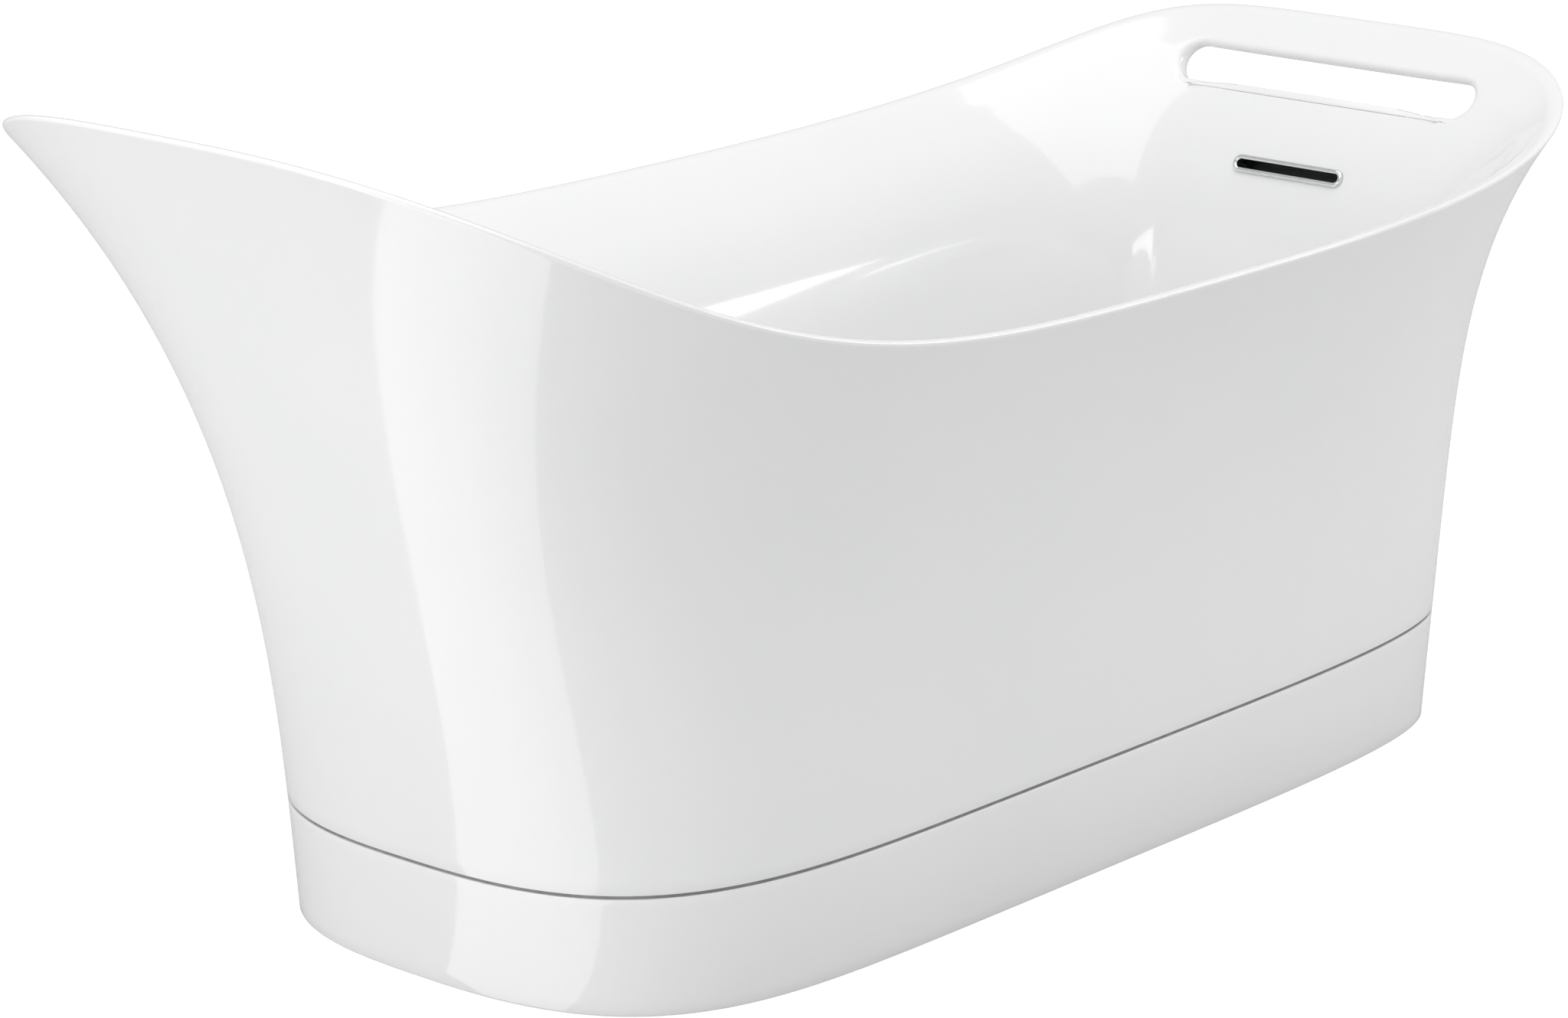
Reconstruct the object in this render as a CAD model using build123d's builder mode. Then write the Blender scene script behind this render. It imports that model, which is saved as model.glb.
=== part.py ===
from build123d import *
import math
import os

import numpy as np

os.makedirs("parts", exist_ok=True)

# Freestanding bathtub: two bonded skins on a steel frame, a separate plinth, a slot overflow and a
# push-open waste with its trap. Millimetres, +Z up, origin on the floor under the middle of the tub.
# The head end, with the high back, is at -X. The foot end, with the towel slot, is at +X.

# ---- overall sizes ----
OVERALL_LENGTH = 1800.0
BASE_LENGTH = 1313.0
BASE_WIDTH = 617.0
SIDE_WIDTH = 794.0        # across the lip at the lowest part of the sides
BASE_SETBACK = 55.0       # the base sits this far towards the foot end
HEAD_RIM_HEIGHT = 862.0
SIDE_RIM_HEIGHT = 611.0
FOOT_RIM_HEIGHT = 710.0

# ---- how the walls flare: (share of the rim height, share of the spread from base to rim) ----
HEAD_FLARE = ((0.0, 0.0), (0.2, 0.066), (0.4, 0.197), (0.6, 0.374), (0.8, 0.619), (1.0, 1.0))
FOOT_FLARE = ((0.0, 0.0), (0.2, 0.089), (0.4, 0.259), (0.6, 0.410), (0.8, 0.592), (1.0, 1.0))
SIDE_FLARE = ((0.0, 0.0), (0.3, 0.082), (0.6, 0.121), (0.85, 0.501), (1.0, 1.0), (1.2, 2.084),
              (1.4, 3.740))
# ---- how the rim climbs from its low middle: (share of the half length, share of the rise) ----
HEAD_RIM_LINE = ((-1.0, 1.0), (-0.75, 0.528), (-0.5, 0.194), (-0.25, 0.045), (0.0, 0.007))
FOOT_RIM_LINE = ((0.25, 0.008), (0.5, 0.053), (0.75, 0.249), (1.0, 1.0))
# ---- plan corners: power of the superellipse along X and Y, at the floor and at the head rim ----
HEAD_POWER_X = (6.2, 2.2)
HEAD_POWER_Y = (2.7, 3.1)
FOOT_POWER_X = (3.9, 3.75)
FOOT_POWER_Y = (9.4, 3.9)

# ---- skins ----
LIP_THICKNESS = 12.0
SKIN = 5.9                # each of the two skins, with the bond line left between them
CAVITY = 67.0             # from outer face to basin face, deep down
CAVITY_DEPTH = 110.0      # how far below the lip the skins have parted
BASIN_FLOOR = 165.0
FLOOR_RADIUS = 70.0
SECTION_POINTS = 64

# ---- plinth ----
JOINT_HEIGHT = 122.0      # underside of the outer shell
GASKET = 3.5
GASKET_INSET = 2.0
PLINTH_WALL = 10.0

# ---- towel slot ----
SLOT_HEIGHT = 642.0
SLOT_LENGTH = 398.0
SLOT_WIDTH = 46.0
SLOT_LINER = 5.0

# ---- overflow ----
OVERFLOW_HEIGHT = 555.0
OVERFLOW_LENGTH = 148.0
OVERFLOW_WIDTH = 20.0
OVERFLOW_FACE = 5.5       # width of the chrome band round the opening
TRIM_THICKNESS = 3.0
OVERFLOW_SLEEVE = 1.2
OVERFLOW_BODY_DEPTH = 22.0
SEAL_THICKNESS = 3.0
SEAL_CLEARANCE = 0.95     # the wall behind the trim isn't quite flat
PIPE_RADIUS = 12.0
PIPE_WALL = 2.0

# ---- frame ----
BOARD = 12.0
BOARD_LENGTH = 960.0
BOARD_WIDTH = 370.0
RAIL = 25.0
RAIL_WALL = 2.0
RAIL_LENGTH = 1020.0
RAIL_MIDDLE = 70.0
RAIL_SPREAD = 170.0
CROSS_RAILS = (-380.0, 60.0, 400.0)
FEET = ((-415.0, -1), (-415.0, 1), (540.0, -1), (540.0, 1), (60.0, 0))
STUD_RADIUS = 6.0
PAD_RADIUS = 22.0
PAD_HEIGHT = 10.0
NUT_HEIGHT = 8.0
FOOT_RISE = 5.0           # room for the stud to screw in
BRACKETS = (-300.0, 330.0)

# ---- waste ----
DRAIN_X = 480.0
FLANGE_BAND = 12.0        # how far the flange spreads past its tail
FLANGE_THICKNESS = 4.0
TAIL_RADIUS = 24.0
TAIL_WALL = 4.0
TAIL_END = 76.0
PLUG_MARGIN = 5.0         # flange left showing round the plug
PLUG_THICKNESS = 4.0
STEM_RADIUS = 4.0
PORT_HEIGHT = 128.0
TRAP_ROOM = 18.0          # from the tail to the trap's outer wall
TRAP_WALL = 3.0
TRAP_TOP = 80.0
OUTLET_RADIUS = 20.0
OUTLET_LENGTH = 110.0
OUTLET_HEIGHT = 56.0
SPIGOT_TOP = 31.0         # the outlet turns down to the floor and ends in a narrower spigot
SPIGOT_LOW = 6.0
SPIGOT_SHOULDER = 3.0

RUN = 0.06                # radial clearance of a running or screwed fit
SLIP = 0.3                # clearance between pieces that only pass each other


# ---- shape of the tub ----
def through(stations):
    """The curve through a list of stations, as a function."""
    along, across = zip(*stations)
    return np.poly1d(np.polyfit(along, across, len(stations) - 1))


HEAD_REACH_RIM = OVERALL_LENGTH / 2 + BASE_SETBACK
FOOT_REACH_RIM = OVERALL_LENGTH / 2 - BASE_SETBACK
head_flare = through(HEAD_FLARE)
foot_flare = through(FOOT_FLARE)
side_flare = through(SIDE_FLARE)
HEAD_RISE = HEAD_RIM_HEIGHT - SIDE_RIM_HEIGHT
FOOT_RISE_SHARE = (FOOT_RIM_HEIGHT - SIDE_RIM_HEIGHT) / HEAD_RISE
rim_line = through(HEAD_RIM_LINE + tuple((s, v * FOOT_RISE_SHARE) for s, v in FOOT_RIM_LINE))


def head_reach(z):
    spread = HEAD_REACH_RIM - BASE_LENGTH / 2
    return BASE_LENGTH / 2 + spread * head_flare(z / HEAD_RIM_HEIGHT)


def foot_reach(z):
    spread = FOOT_REACH_RIM - BASE_LENGTH / 2
    return BASE_LENGTH / 2 + spread * foot_flare(z / FOOT_RIM_HEIGHT)


def half_width(z):
    spread = (SIDE_WIDTH - BASE_WIDTH) / 2
    return BASE_WIDTH / 2 + spread * side_flare(z / SIDE_RIM_HEIGHT)


def rim_height(x):
    return SIDE_RIM_HEIGHT + HEAD_RISE * rim_line(x / (OVERALL_LENGTH / 2))


def power(pair, z):
    return pair[0] + (pair[1] - pair[0]) * z / HEAD_RIM_HEIGHT


def skin_gap(depth):
    """Outer face to basin face, at a depth below the lip."""
    return LIP_THICKNESS + (CAVITY - LIP_THICKNESS) * math.tanh(max(depth, 0.0) / CAVITY_DEPTH)


def outer_face(depth):
    return 0.0


def outer_back(depth):
    return SKIN


def basin_face(depth):
    return skin_gap(depth)


def basin_back(depth):
    return skin_gap(depth) - SKIN


def plinth_back(depth):
    return PLINTH_WALL


def section_points(z, inset_at, shrink=0.0):
    """Points round a level section, each set in from the outer face by its own depth's inset."""
    points = []
    for i in range(SECTION_POINTS):
        turn = 2 * math.pi * (i / SECTION_POINTS - 0.25)
        angle = turn - 0.2 * math.sin(4 * turn)
        c = math.cos(angle)
        s = math.sin(angle)
        reach = foot_reach(z) if c >= 0 else head_reach(z)
        power_x = power(FOOT_POWER_X if c >= 0 else HEAD_POWER_X, z)
        power_y = power(FOOT_POWER_Y if c >= 0 else HEAD_POWER_Y, z)
        along = math.copysign(abs(c) ** (2 / power_x), c)
        across = math.copysign(abs(s) ** (2 / power_y), s)
        inset = inset_at(rim_height(BASE_SETBACK + reach * along) - z) + shrink
        x = BASE_SETBACK + (reach - inset) * along
        points.append((x, (half_width(z) - inset) * across))
    return points


def wall_y(x, z, inset):
    """Half width of a level section at a place along it."""
    reach = foot_reach(z) if x >= BASE_SETBACK else head_reach(z)
    power_x = power(FOOT_POWER_X if x >= BASE_SETBACK else HEAD_POWER_X, z)
    power_y = power(FOOT_POWER_Y if x >= BASE_SETBACK else HEAD_POWER_Y, z)
    along = abs(x - BASE_SETBACK) / (reach - inset)
    return (half_width(z) - inset) * (1 - along ** power_x) ** (1 / power_y)


def foot_face(z, inset_at):
    """X of a skin's face on the middle line of the foot end."""
    x = BASE_SETBACK + foot_reach(z)
    return x - inset_at(rim_height(x) - z)


def between_skins(z):
    return (foot_face(z, outer_back) + foot_face(z, basin_back)) / 2


def lean(z, inset_at):
    """Angle of that face from level, in degrees."""
    step = 5.0
    run = foot_face(z + step, inset_at) - foot_face(z - step, inset_at)
    return math.degrees(math.atan2(2 * step, run))


def wall_plane(x, z, angle):
    """Plane on a leaning foot wall: its X along the tub's width, its normal pointing out."""
    out = (math.sin(math.radians(angle)), 0, -math.cos(math.radians(angle)))
    return Plane(origin=(x, 0, z), x_dir=(0, 1, 0), z_dir=out)


def levels(low, high, count):
    return [low + (high - low) * i / (count - 1) for i in range(count)]


def stack(heights, inset_at, shrink_at=lambda z: 0.0):
    """Loft of level sections."""
    with BuildPart() as body:
        for z in heights:
            with BuildSketch(Plane.XY.offset(z)):
                with BuildLine():
                    Spline(*section_points(z, inset_at, shrink_at(z)), periodic=True)
                make_face()
        loft()
    return body.part


def save(piece, name):
    piece.part.label = name
    export_step(piece.part, f"parts/{name}.step")


def floor_shrink(floor, radius):
    """Extra inset that rounds the wall into the floor."""
    def shrink(z):
        rise = min(max(radius - (z - floor), 0.0), radius)
        return radius - math.sqrt(radius ** 2 - rise ** 2)
    return shrink


TOP = HEAD_RIM_HEIGHT + 12.0
SHELL_LEVELS = levels(JOINT_HEIGHT, TOP, 14)
BASIN_UNDERSIDE = BASIN_FLOOR - SKIN


def basin_levels(floor):
    """Close together in the floor's rounding, wider apart up the wall."""
    rounding = [floor + FLOOR_RADIUS * share for share in (0.0, 0.03, 0.12, 0.3, 0.6, 1.0)]
    return rounding + levels(floor + FLOOR_RADIUS, TOP, 13)[1:]


outer_volume = stack(SHELL_LEVELS, outer_face)
outer_hollow = stack(SHELL_LEVELS, outer_back)
basin_volume = stack(basin_levels(BASIN_UNDERSIDE), basin_back,
                     floor_shrink(BASIN_UNDERSIDE, FLOOR_RADIUS + SKIN))
basin_hollow = stack(basin_levels(BASIN_FLOOR), basin_face, floor_shrink(BASIN_FLOOR, FLOOR_RADIUS))

# ---- everything above the rim line, which runs on a little past both ends ----
RIM_STATIONS = 27
REACH_PAST = 30.0
SKY = HEAD_RIM_HEIGHT * 2.0
with BuildPart() as above_rim:
    with BuildSketch(Plane.XZ):
        with BuildLine():
            end = OVERALL_LENGTH / 2 + REACH_PAST
            rim_points = [(x, rim_height(x)) for x in levels(-end, end, RIM_STATIONS)]
            Spline(*rim_points)
            first = rim_points[0]
            last = rim_points[-1]
            Polyline(last, (end * 2, last[1]), (end * 2, SKY), (-end * 2, SKY), (-end * 2, first[1]),
                     first)
        make_face()
    extrude(amount=OVERALL_LENGTH, both=True)

SLOT_OUT = foot_face(SLOT_HEIGHT, outer_face)
SLOT_IN = foot_face(SLOT_HEIGHT, basin_face)
SLOT_LEAN = (lean(SLOT_HEIGHT, outer_face) + lean(SLOT_HEIGHT, basin_face)) / 2
slot_plane = wall_plane((SLOT_OUT + SLOT_IN) / 2, SLOT_HEIGHT, SLOT_LEAN)
SLOT_REACH = SLOT_OUT - SLOT_IN + 30.0


def stadium_bar(plane, length, width, start, stop):
    """A bar with round ends, standing on a plane between two depths along its normal."""
    with BuildPart() as bar:
        with BuildSketch(plane.offset(start)):
            SlotOverall(length, width)
        extrude(amount=stop - start)
    return bar.part


# ---- outer shell ----
with BuildPart() as outer_shell:
    add(outer_volume)
    add(outer_hollow, mode=Mode.SUBTRACT)
    add(above_rim.part, mode=Mode.SUBTRACT)
    add(stadium_bar(slot_plane, SLOT_LENGTH, SLOT_WIDTH, -SLOT_REACH, SLOT_REACH), mode=Mode.SUBTRACT)
save(outer_shell, "outer_shell")

# ---- overflow place on the basin wall ----
OVERFLOW_X = foot_face(OVERFLOW_HEIGHT, basin_face)
OVERFLOW_LEAN = lean(OVERFLOW_HEIGHT, basin_face)
overflow_plane = wall_plane(OVERFLOW_X, OVERFLOW_HEIGHT, OVERFLOW_LEAN)
OPENING_LENGTH = OVERFLOW_LENGTH - 2 * OVERFLOW_FACE
OPENING_WIDTH = OVERFLOW_WIDTH - 2 * OVERFLOW_FACE
SLEEVE_LENGTH = OPENING_LENGTH + 2 * OVERFLOW_SLEEVE
SLEEVE_WIDTH = OPENING_WIDTH + 2 * OVERFLOW_SLEEVE
HOLE_LENGTH = SLEEVE_LENGTH + 2 * SLIP
HOLE_WIDTH = SLEEVE_WIDTH + 2 * SLIP

# ---- inner basin, with the slot's liner and the holes for the overflow and the waste ----
DRAIN_HOLE = TAIL_RADIUS + 1.0
with BuildPart() as slot_liner:
    add(stadium_bar(slot_plane, SLOT_LENGTH + 2 * SLOT_LINER, SLOT_WIDTH + 2 * SLOT_LINER,
                    -SLOT_REACH, SLOT_REACH))
    add(outer_hollow, mode=Mode.INTERSECT)
    add(basin_hollow, mode=Mode.SUBTRACT)

with BuildPart() as inner_basin:
    add(basin_volume)
    add(slot_liner.part)
    add(basin_hollow, mode=Mode.SUBTRACT)
    add(above_rim.part, mode=Mode.SUBTRACT)
    add(stadium_bar(slot_plane, SLOT_LENGTH, SLOT_WIDTH, -SLOT_REACH, SLOT_REACH), mode=Mode.SUBTRACT)
    add(stadium_bar(overflow_plane, HOLE_LENGTH, HOLE_WIDTH, -SKIN * 2, SKIN * 2), mode=Mode.SUBTRACT)
    with Locations((DRAIN_X, 0, BASIN_FLOOR)):
        Cylinder(DRAIN_HOLE, SKIN * 4, mode=Mode.SUBTRACT)
save(inner_basin, "inner_basin")

# ---- joint strip on top of the plinth ----
PLINTH_TOP = JOINT_HEIGHT - GASKET
PLINTH_LEVELS = levels(0.0, PLINTH_TOP, 4)


with BuildPart() as plinth_gasket:
    with BuildSketch(Plane.XY.offset(PLINTH_TOP)):
        with BuildLine():
            Spline(*section_points(PLINTH_TOP, outer_face, GASKET_INSET), periodic=True)
        make_face()
        with BuildLine():
            Spline(*section_points(PLINTH_TOP, outer_face, PLINTH_WALL), periodic=True)
        make_face(mode=Mode.SUBTRACT)
    extrude(amount=GASKET)
save(plinth_gasket, "plinth_gasket")

# ---- base board, bonded under the basin floor ----
BOARD_UNDERSIDE = BASIN_UNDERSIDE - BOARD
WASTE_CUTOUT = TAIL_RADIUS + 26.0
with BuildPart() as base_board:
    with BuildSketch(Plane.XY.offset(BOARD_UNDERSIDE)):
        with Locations((RAIL_MIDDLE, 0)):
            RectangleRounded(BOARD_LENGTH, BOARD_WIDTH, 60.0)
        with Locations((DRAIN_X, 0)):
            Circle(WASTE_CUTOUT, mode=Mode.SUBTRACT)
    extrude(amount=BOARD)
save(base_board, "base_board")

# ---- rails ----
RAIL_TOP = BOARD_UNDERSIDE
RAIL_AXIS = RAIL_TOP - RAIL / 2
RAIL_UNDERSIDE = RAIL_TOP - RAIL
BOLT_RADIUS = 4.0
SMALL_BOLT_RADIUS = 3.0
SIDES = (-1, 1)
CROSS_LENGTH = 2 * RAIL_SPREAD - RAIL
STUD_HOLE = STUD_RADIUS + RUN

with BuildPart() as long_rails:
    for side in SIDES:
        with Locations((RAIL_MIDDLE, side * RAIL_SPREAD, RAIL_AXIS)):
            Box(RAIL_LENGTH, RAIL, RAIL)
            Box(RAIL_LENGTH, RAIL - 2 * RAIL_WALL, RAIL - 2 * RAIL_WALL, mode=Mode.SUBTRACT)
        for x in CROSS_RAILS:
            with Locations(Location((x, side * RAIL_SPREAD, RAIL_AXIS), (90, 0, 0))):
                Cylinder(BOLT_RADIUS + RUN, RAIL * 2, mode=Mode.SUBTRACT)
        for x in BRACKETS:
            with Locations((x, side * RAIL_SPREAD, RAIL_UNDERSIDE)):
                Cylinder(SMALL_BOLT_RADIUS + RUN, RAIL_WALL * 3, mode=Mode.SUBTRACT)
    for x, side in FEET:
        with Locations((x, side * RAIL_SPREAD, RAIL_UNDERSIDE)):
            Cylinder(STUD_HOLE, RAIL_WALL * 3, mode=Mode.SUBTRACT)
save(long_rails, "long_rails")

with BuildPart() as cross_rails:
    for x in CROSS_RAILS:
        with Locations((x, 0, RAIL_AXIS)):
            Box(RAIL, CROSS_LENGTH, RAIL)
            Box(RAIL - 2 * RAIL_WALL, CROSS_LENGTH, RAIL - 2 * RAIL_WALL, mode=Mode.SUBTRACT)
    for x, side in FEET:
        if side == 0:
            with Locations((x, 0, RAIL_UNDERSIDE)):
                Cylinder(STUD_HOLE, RAIL_WALL * 3, mode=Mode.SUBTRACT)
save(cross_rails, "cross_rails")

BOLT_HEAD_RADIUS = 7.0
BOLT_HEAD = 5.0
with BuildPart() as frame_bolts:
    for x in CROSS_RAILS:
        for side in SIDES:
            face = side * (RAIL_SPREAD + RAIL / 2)
            with Locations(Location((x, face, RAIL_AXIS), (-90 * side, 0, 0))):
                Cylinder(BOLT_HEAD_RADIUS, BOLT_HEAD, align=(Align.CENTER, Align.CENTER, Align.MIN))
                Cylinder(BOLT_RADIUS, RAIL + 12.0, align=(Align.CENTER, Align.CENTER, Align.MAX))
save(frame_bolts, "frame_bolts")

# ---- levelling feet ----
STUD_SEAT = 6.0
STUD_TOP = RAIL_TOP - RAIL_WALL - FOOT_RISE - 1.0
PAD_BOSS_RADIUS = STUD_RADIUS + 4.0
PAD_BOSS = 6.0
for number, (x, side) in enumerate(FEET, start=1):
    y = side * RAIL_SPREAD
    with BuildPart() as foot_stud:
        with Locations((x, y, STUD_SEAT)):
            Cylinder(STUD_RADIUS, STUD_TOP - STUD_SEAT, align=(Align.CENTER, Align.CENTER, Align.MIN))
        chamfer(foot_stud.edges().group_by(Axis.Z)[-1], 1.0)
    save(foot_stud, f"foot_stud_{number}")

    with BuildPart() as foot_pad:
        with Locations((x, y, 0)):
            Cylinder(PAD_RADIUS, PAD_HEIGHT, align=(Align.CENTER, Align.CENTER, Align.MIN))
        fillet(foot_pad.edges().group_by(Axis.Z)[-1], 3.0)
        with Locations((x, y, PAD_HEIGHT)):
            Cylinder(PAD_BOSS_RADIUS, PAD_BOSS, align=(Align.CENTER, Align.CENTER, Align.MIN))
        with Locations((x, y, STUD_SEAT)):
            Cylinder(STUD_RADIUS + RUN, PAD_HEIGHT + PAD_BOSS, mode=Mode.SUBTRACT,
                     align=(Align.CENTER, Align.CENTER, Align.MIN))
    save(foot_pad, f"foot_pad_{number}")

NUT_FLATS = 2 * STUD_RADIUS + 7.0
with BuildPart() as foot_locknuts:
    for x, side in FEET:
        with BuildSketch(Plane.XY.offset(RAIL_UNDERSIDE - NUT_HEIGHT)):
            with Locations((x, side * RAIL_SPREAD)):
                RegularPolygon(NUT_FLATS / 2, 6, major_radius=False)
                Circle(STUD_HOLE, mode=Mode.SUBTRACT)
        extrude(amount=NUT_HEIGHT)
save(foot_locknuts, "foot_locknuts")

# ---- brackets that hold the plinth to the rails ----
BRACKET_WIDTH = 30.0
BRACKET_SHEET = 3.0
BRACKET_TOP = RAIL_UNDERSIDE
SCREW_HEIGHT = PLINTH_TOP - 18.5
BRACKET_DROP = BRACKET_TOP - SCREW_HEIGHT + 12.0
SCREW_RADIUS = 2.5
SCREW_HEAD_RADIUS = 5.0
SCREW_HEAD = 3.0
SCREW_BITE = 6.0


def bracket_wall(x):
    """Where a bracket's upright stands, just inside the narrowest of the plinth wall behind it."""
    ends = (x - BRACKET_WIDTH / 2, x + BRACKET_WIDTH / 2)
    low = BRACKET_TOP - BRACKET_DROP
    return min(wall_y(e, z, PLINTH_WALL) for e in ends for z in (low, BRACKET_TOP)) - SLIP


with BuildPart() as plinth_brackets:
    for x in BRACKETS:
        for side in SIDES:
            wall = bracket_wall(x)
            start = RAIL_SPREAD - RAIL / 2
            with Locations((x, side * (start + wall) / 2, BRACKET_TOP)):
                Box(BRACKET_WIDTH, wall - start, BRACKET_SHEET,
                    align=(Align.CENTER, Align.CENTER, Align.MAX))
            with Locations((x, side * (wall - BRACKET_SHEET / 2), BRACKET_TOP)):
                Box(BRACKET_WIDTH, BRACKET_SHEET, BRACKET_DROP,
                    align=(Align.CENTER, Align.CENTER, Align.MAX))
            with Locations((x, side * RAIL_SPREAD, BRACKET_TOP)):
                Cylinder(SMALL_BOLT_RADIUS + RUN, BRACKET_SHEET * 4, mode=Mode.SUBTRACT)
            with Locations(Location((x, side * wall, SCREW_HEIGHT), (90, 0, 0))):
                Cylinder(SCREW_RADIUS + RUN, BRACKET_SHEET * 4, mode=Mode.SUBTRACT)
save(plinth_brackets, "plinth_brackets")

with BuildPart() as bracket_bolts:
    for x in BRACKETS:
        for side in SIDES:
            with Locations((x, side * RAIL_SPREAD, BRACKET_TOP - BRACKET_SHEET)):
                Cylinder(BOLT_HEAD_RADIUS - 1.5, 4.0, align=(Align.CENTER, Align.CENTER, Align.MAX))
                Cylinder(SMALL_BOLT_RADIUS, 12.0, align=(Align.CENTER, Align.CENTER, Align.MIN))
save(bracket_bolts, "bracket_bolts")

with BuildPart() as plinth_screws:
    for x in BRACKETS:
        for side in SIDES:
            face = side * (bracket_wall(x) - BRACKET_SHEET)
            with Locations(Location((x, face, SCREW_HEIGHT), (-90 * side, 0, 0))):
                Cylinder(SCREW_HEAD_RADIUS, SCREW_HEAD, align=(Align.CENTER, Align.CENTER, Align.MAX))
                Cylinder(SCREW_RADIUS, BRACKET_SHEET + SCREW_BITE,
                         align=(Align.CENTER, Align.CENTER, Align.MIN))
save(plinth_screws, "plinth_screws")

with BuildPart() as plinth:
    add(stack(PLINTH_LEVELS, outer_face))
    add(stack(PLINTH_LEVELS, plinth_back), mode=Mode.SUBTRACT)
    for x in BRACKETS:
        for side in SIDES:
            face = side * (bracket_wall(x) - BRACKET_SHEET)
            with Locations(Location((x, face, SCREW_HEIGHT), (-90 * side, 0, 0))):
                Cylinder(SCREW_RADIUS + RUN, BRACKET_SHEET + SCREW_BITE + SLIP, mode=Mode.SUBTRACT,
                         align=(Align.CENTER, Align.CENTER, Align.MIN))
save(plinth, "plinth")

# ---- overflow: trim, seal, body ----
TRIM_LIFT = 1.0           # the wall bows, so the trim's back stands clear of it at the middle
TRIM_BACK = -TRIM_LIFT
TRIM_FRONT = TRIM_BACK - TRIM_THICKNESS
SLEEVE_END = 16.0
with BuildPart() as overflow_trim:
    with BuildSketch(overflow_plane.offset(TRIM_FRONT)):
        SlotOverall(OVERFLOW_LENGTH, OVERFLOW_WIDTH)
    extrude(amount=TRIM_THICKNESS)
    outward = Axis(overflow_plane.origin, overflow_plane.z_dir)
    fillet(overflow_trim.faces().sort_by(outward)[0].edges(), 2.0)
    with BuildSketch(overflow_plane.offset(TRIM_BACK)):
        SlotOverall(SLEEVE_LENGTH, SLEEVE_WIDTH)
    extrude(amount=SLEEVE_END - TRIM_BACK)
    with BuildSketch(overflow_plane.offset(TRIM_FRONT)):
        SlotOverall(OPENING_LENGTH, OPENING_WIDTH)
    extrude(amount=SLEEVE_END - TRIM_FRONT, mode=Mode.SUBTRACT)
save(overflow_trim, "overflow_trim")

SEAL_START = SKIN * math.sin(math.radians(OVERFLOW_LEAN)) + SEAL_CLEARANCE
SEAL_END = SEAL_START + SEAL_THICKNESS
SEAL_MARGIN = 9.0
BODY_END = SEAL_END + OVERFLOW_BODY_DEPTH
BODY_LENGTH = HOLE_LENGTH + 2 * SEAL_MARGIN
BODY_WIDTH = HOLE_WIDTH + 2 * SEAL_MARGIN
BODY_WALL = 3.0
with BuildPart() as overflow_seal:
    with BuildSketch(overflow_plane.offset(SEAL_START)):
        SlotOverall(BODY_LENGTH, BODY_WIDTH)
        SlotOverall(HOLE_LENGTH, HOLE_WIDTH, mode=Mode.SUBTRACT)
    extrude(amount=SEAL_THICKNESS)
save(overflow_seal, "overflow_seal")

PORT_RADIUS = PIPE_RADIUS + 4.0
PORT_BORE = PIPE_RADIUS + RUN
PORT_DROP = 34.0
BODY_DIP = 14.0           # the port stops inside the body, short of its seal face
body_middle = overflow_plane.origin + overflow_plane.z_dir * (SEAL_END + OVERFLOW_BODY_DEPTH / 2)
PORT_END = body_middle.Z - PORT_DROP
PORT_X = between_skins(PORT_END)
with BuildPart() as overflow_body:
    add(stadium_bar(overflow_plane, BODY_LENGTH, BODY_WIDTH, SEAL_END, BODY_END))
    with Locations((PORT_X, 0, PORT_END)):
        Cylinder(PORT_RADIUS, PORT_DROP - BODY_DIP, align=(Align.CENTER, Align.CENTER, Align.MIN))
    add(stadium_bar(overflow_plane, HOLE_LENGTH, BODY_WIDTH - 2 * BODY_WALL, SEAL_END + BODY_WALL,
                    BODY_END - BODY_WALL), mode=Mode.SUBTRACT)
    add(stadium_bar(overflow_plane, HOLE_LENGTH, HOLE_WIDTH, SEAL_START, SEAL_END + BODY_WALL),
        mode=Mode.SUBTRACT)
    with Locations((PORT_X, 0, PORT_END)):
        Cylinder(PORT_BORE, PORT_DROP, mode=Mode.SUBTRACT,
                 align=(Align.CENTER, Align.CENTER, Align.MIN))
save(overflow_body, "overflow_body")

# ---- overflow pipe, down between the skins and in to the waste body ----
WASTE_BORE = TAIL_RADIUS + 3.0
WASTE_RADIUS = WASTE_BORE + 3.0
WASTE_PORT_END = DRAIN_X + WASTE_RADIUS + 22.0
PIPE_ENTRY = 15.0
PIPE_BEND = 40.0
PIPE_DROP = 20.0          # how far it hangs straight before it follows the foot wall
PIPE_KNEE = 250.0         # where it turns down past the basin's rounded foot
PIPE_TUCK = 12.0

pipe_route = [
    (PORT_X, 0, PORT_END + PIPE_ENTRY),
    (PORT_X, 0, PORT_END - PIPE_DROP),
    (between_skins(PIPE_KNEE), 0, PIPE_KNEE),
    (between_skins(PIPE_KNEE) - PIPE_TUCK, 0, PORT_HEIGHT),
    (WASTE_PORT_END - PIPE_ENTRY, 0, PORT_HEIGHT),
]
with BuildPart() as overflow_pipe:
    with BuildLine() as pipe_line:
        FilletPolyline(*pipe_route, radius=PIPE_BEND)
    with BuildSketch(Plane.XY.offset(PORT_END + PIPE_ENTRY)):
        with Locations((PORT_X, 0)):
            Circle(PIPE_RADIUS)
            Circle(PIPE_RADIUS - PIPE_WALL, mode=Mode.SUBTRACT)
    sweep()
save(overflow_pipe, "overflow_pipe")

# ---- pipe couplings: a seal pressed on each port's end by a nut ----
COUPLING_SEAL = 3.0
COUPLING_NUT = 18.0
COUPLING_THREAD = 10.0
COUPLING_RADIUS = PORT_RADIUS + 2.5
port_ends = (
    Plane(origin=(PORT_X, 0, PORT_END), z_dir=(0, 0, -1)),
    Plane(origin=(WASTE_PORT_END, 0, PORT_HEIGHT), z_dir=(1, 0, 0)),
)
with BuildPart() as pipe_seals:
    for plane in port_ends:
        with BuildSketch(plane):
            Circle(PORT_RADIUS)
            Circle(PORT_BORE, mode=Mode.SUBTRACT)
        extrude(amount=COUPLING_SEAL)
save(pipe_seals, "pipe_seals")

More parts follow.
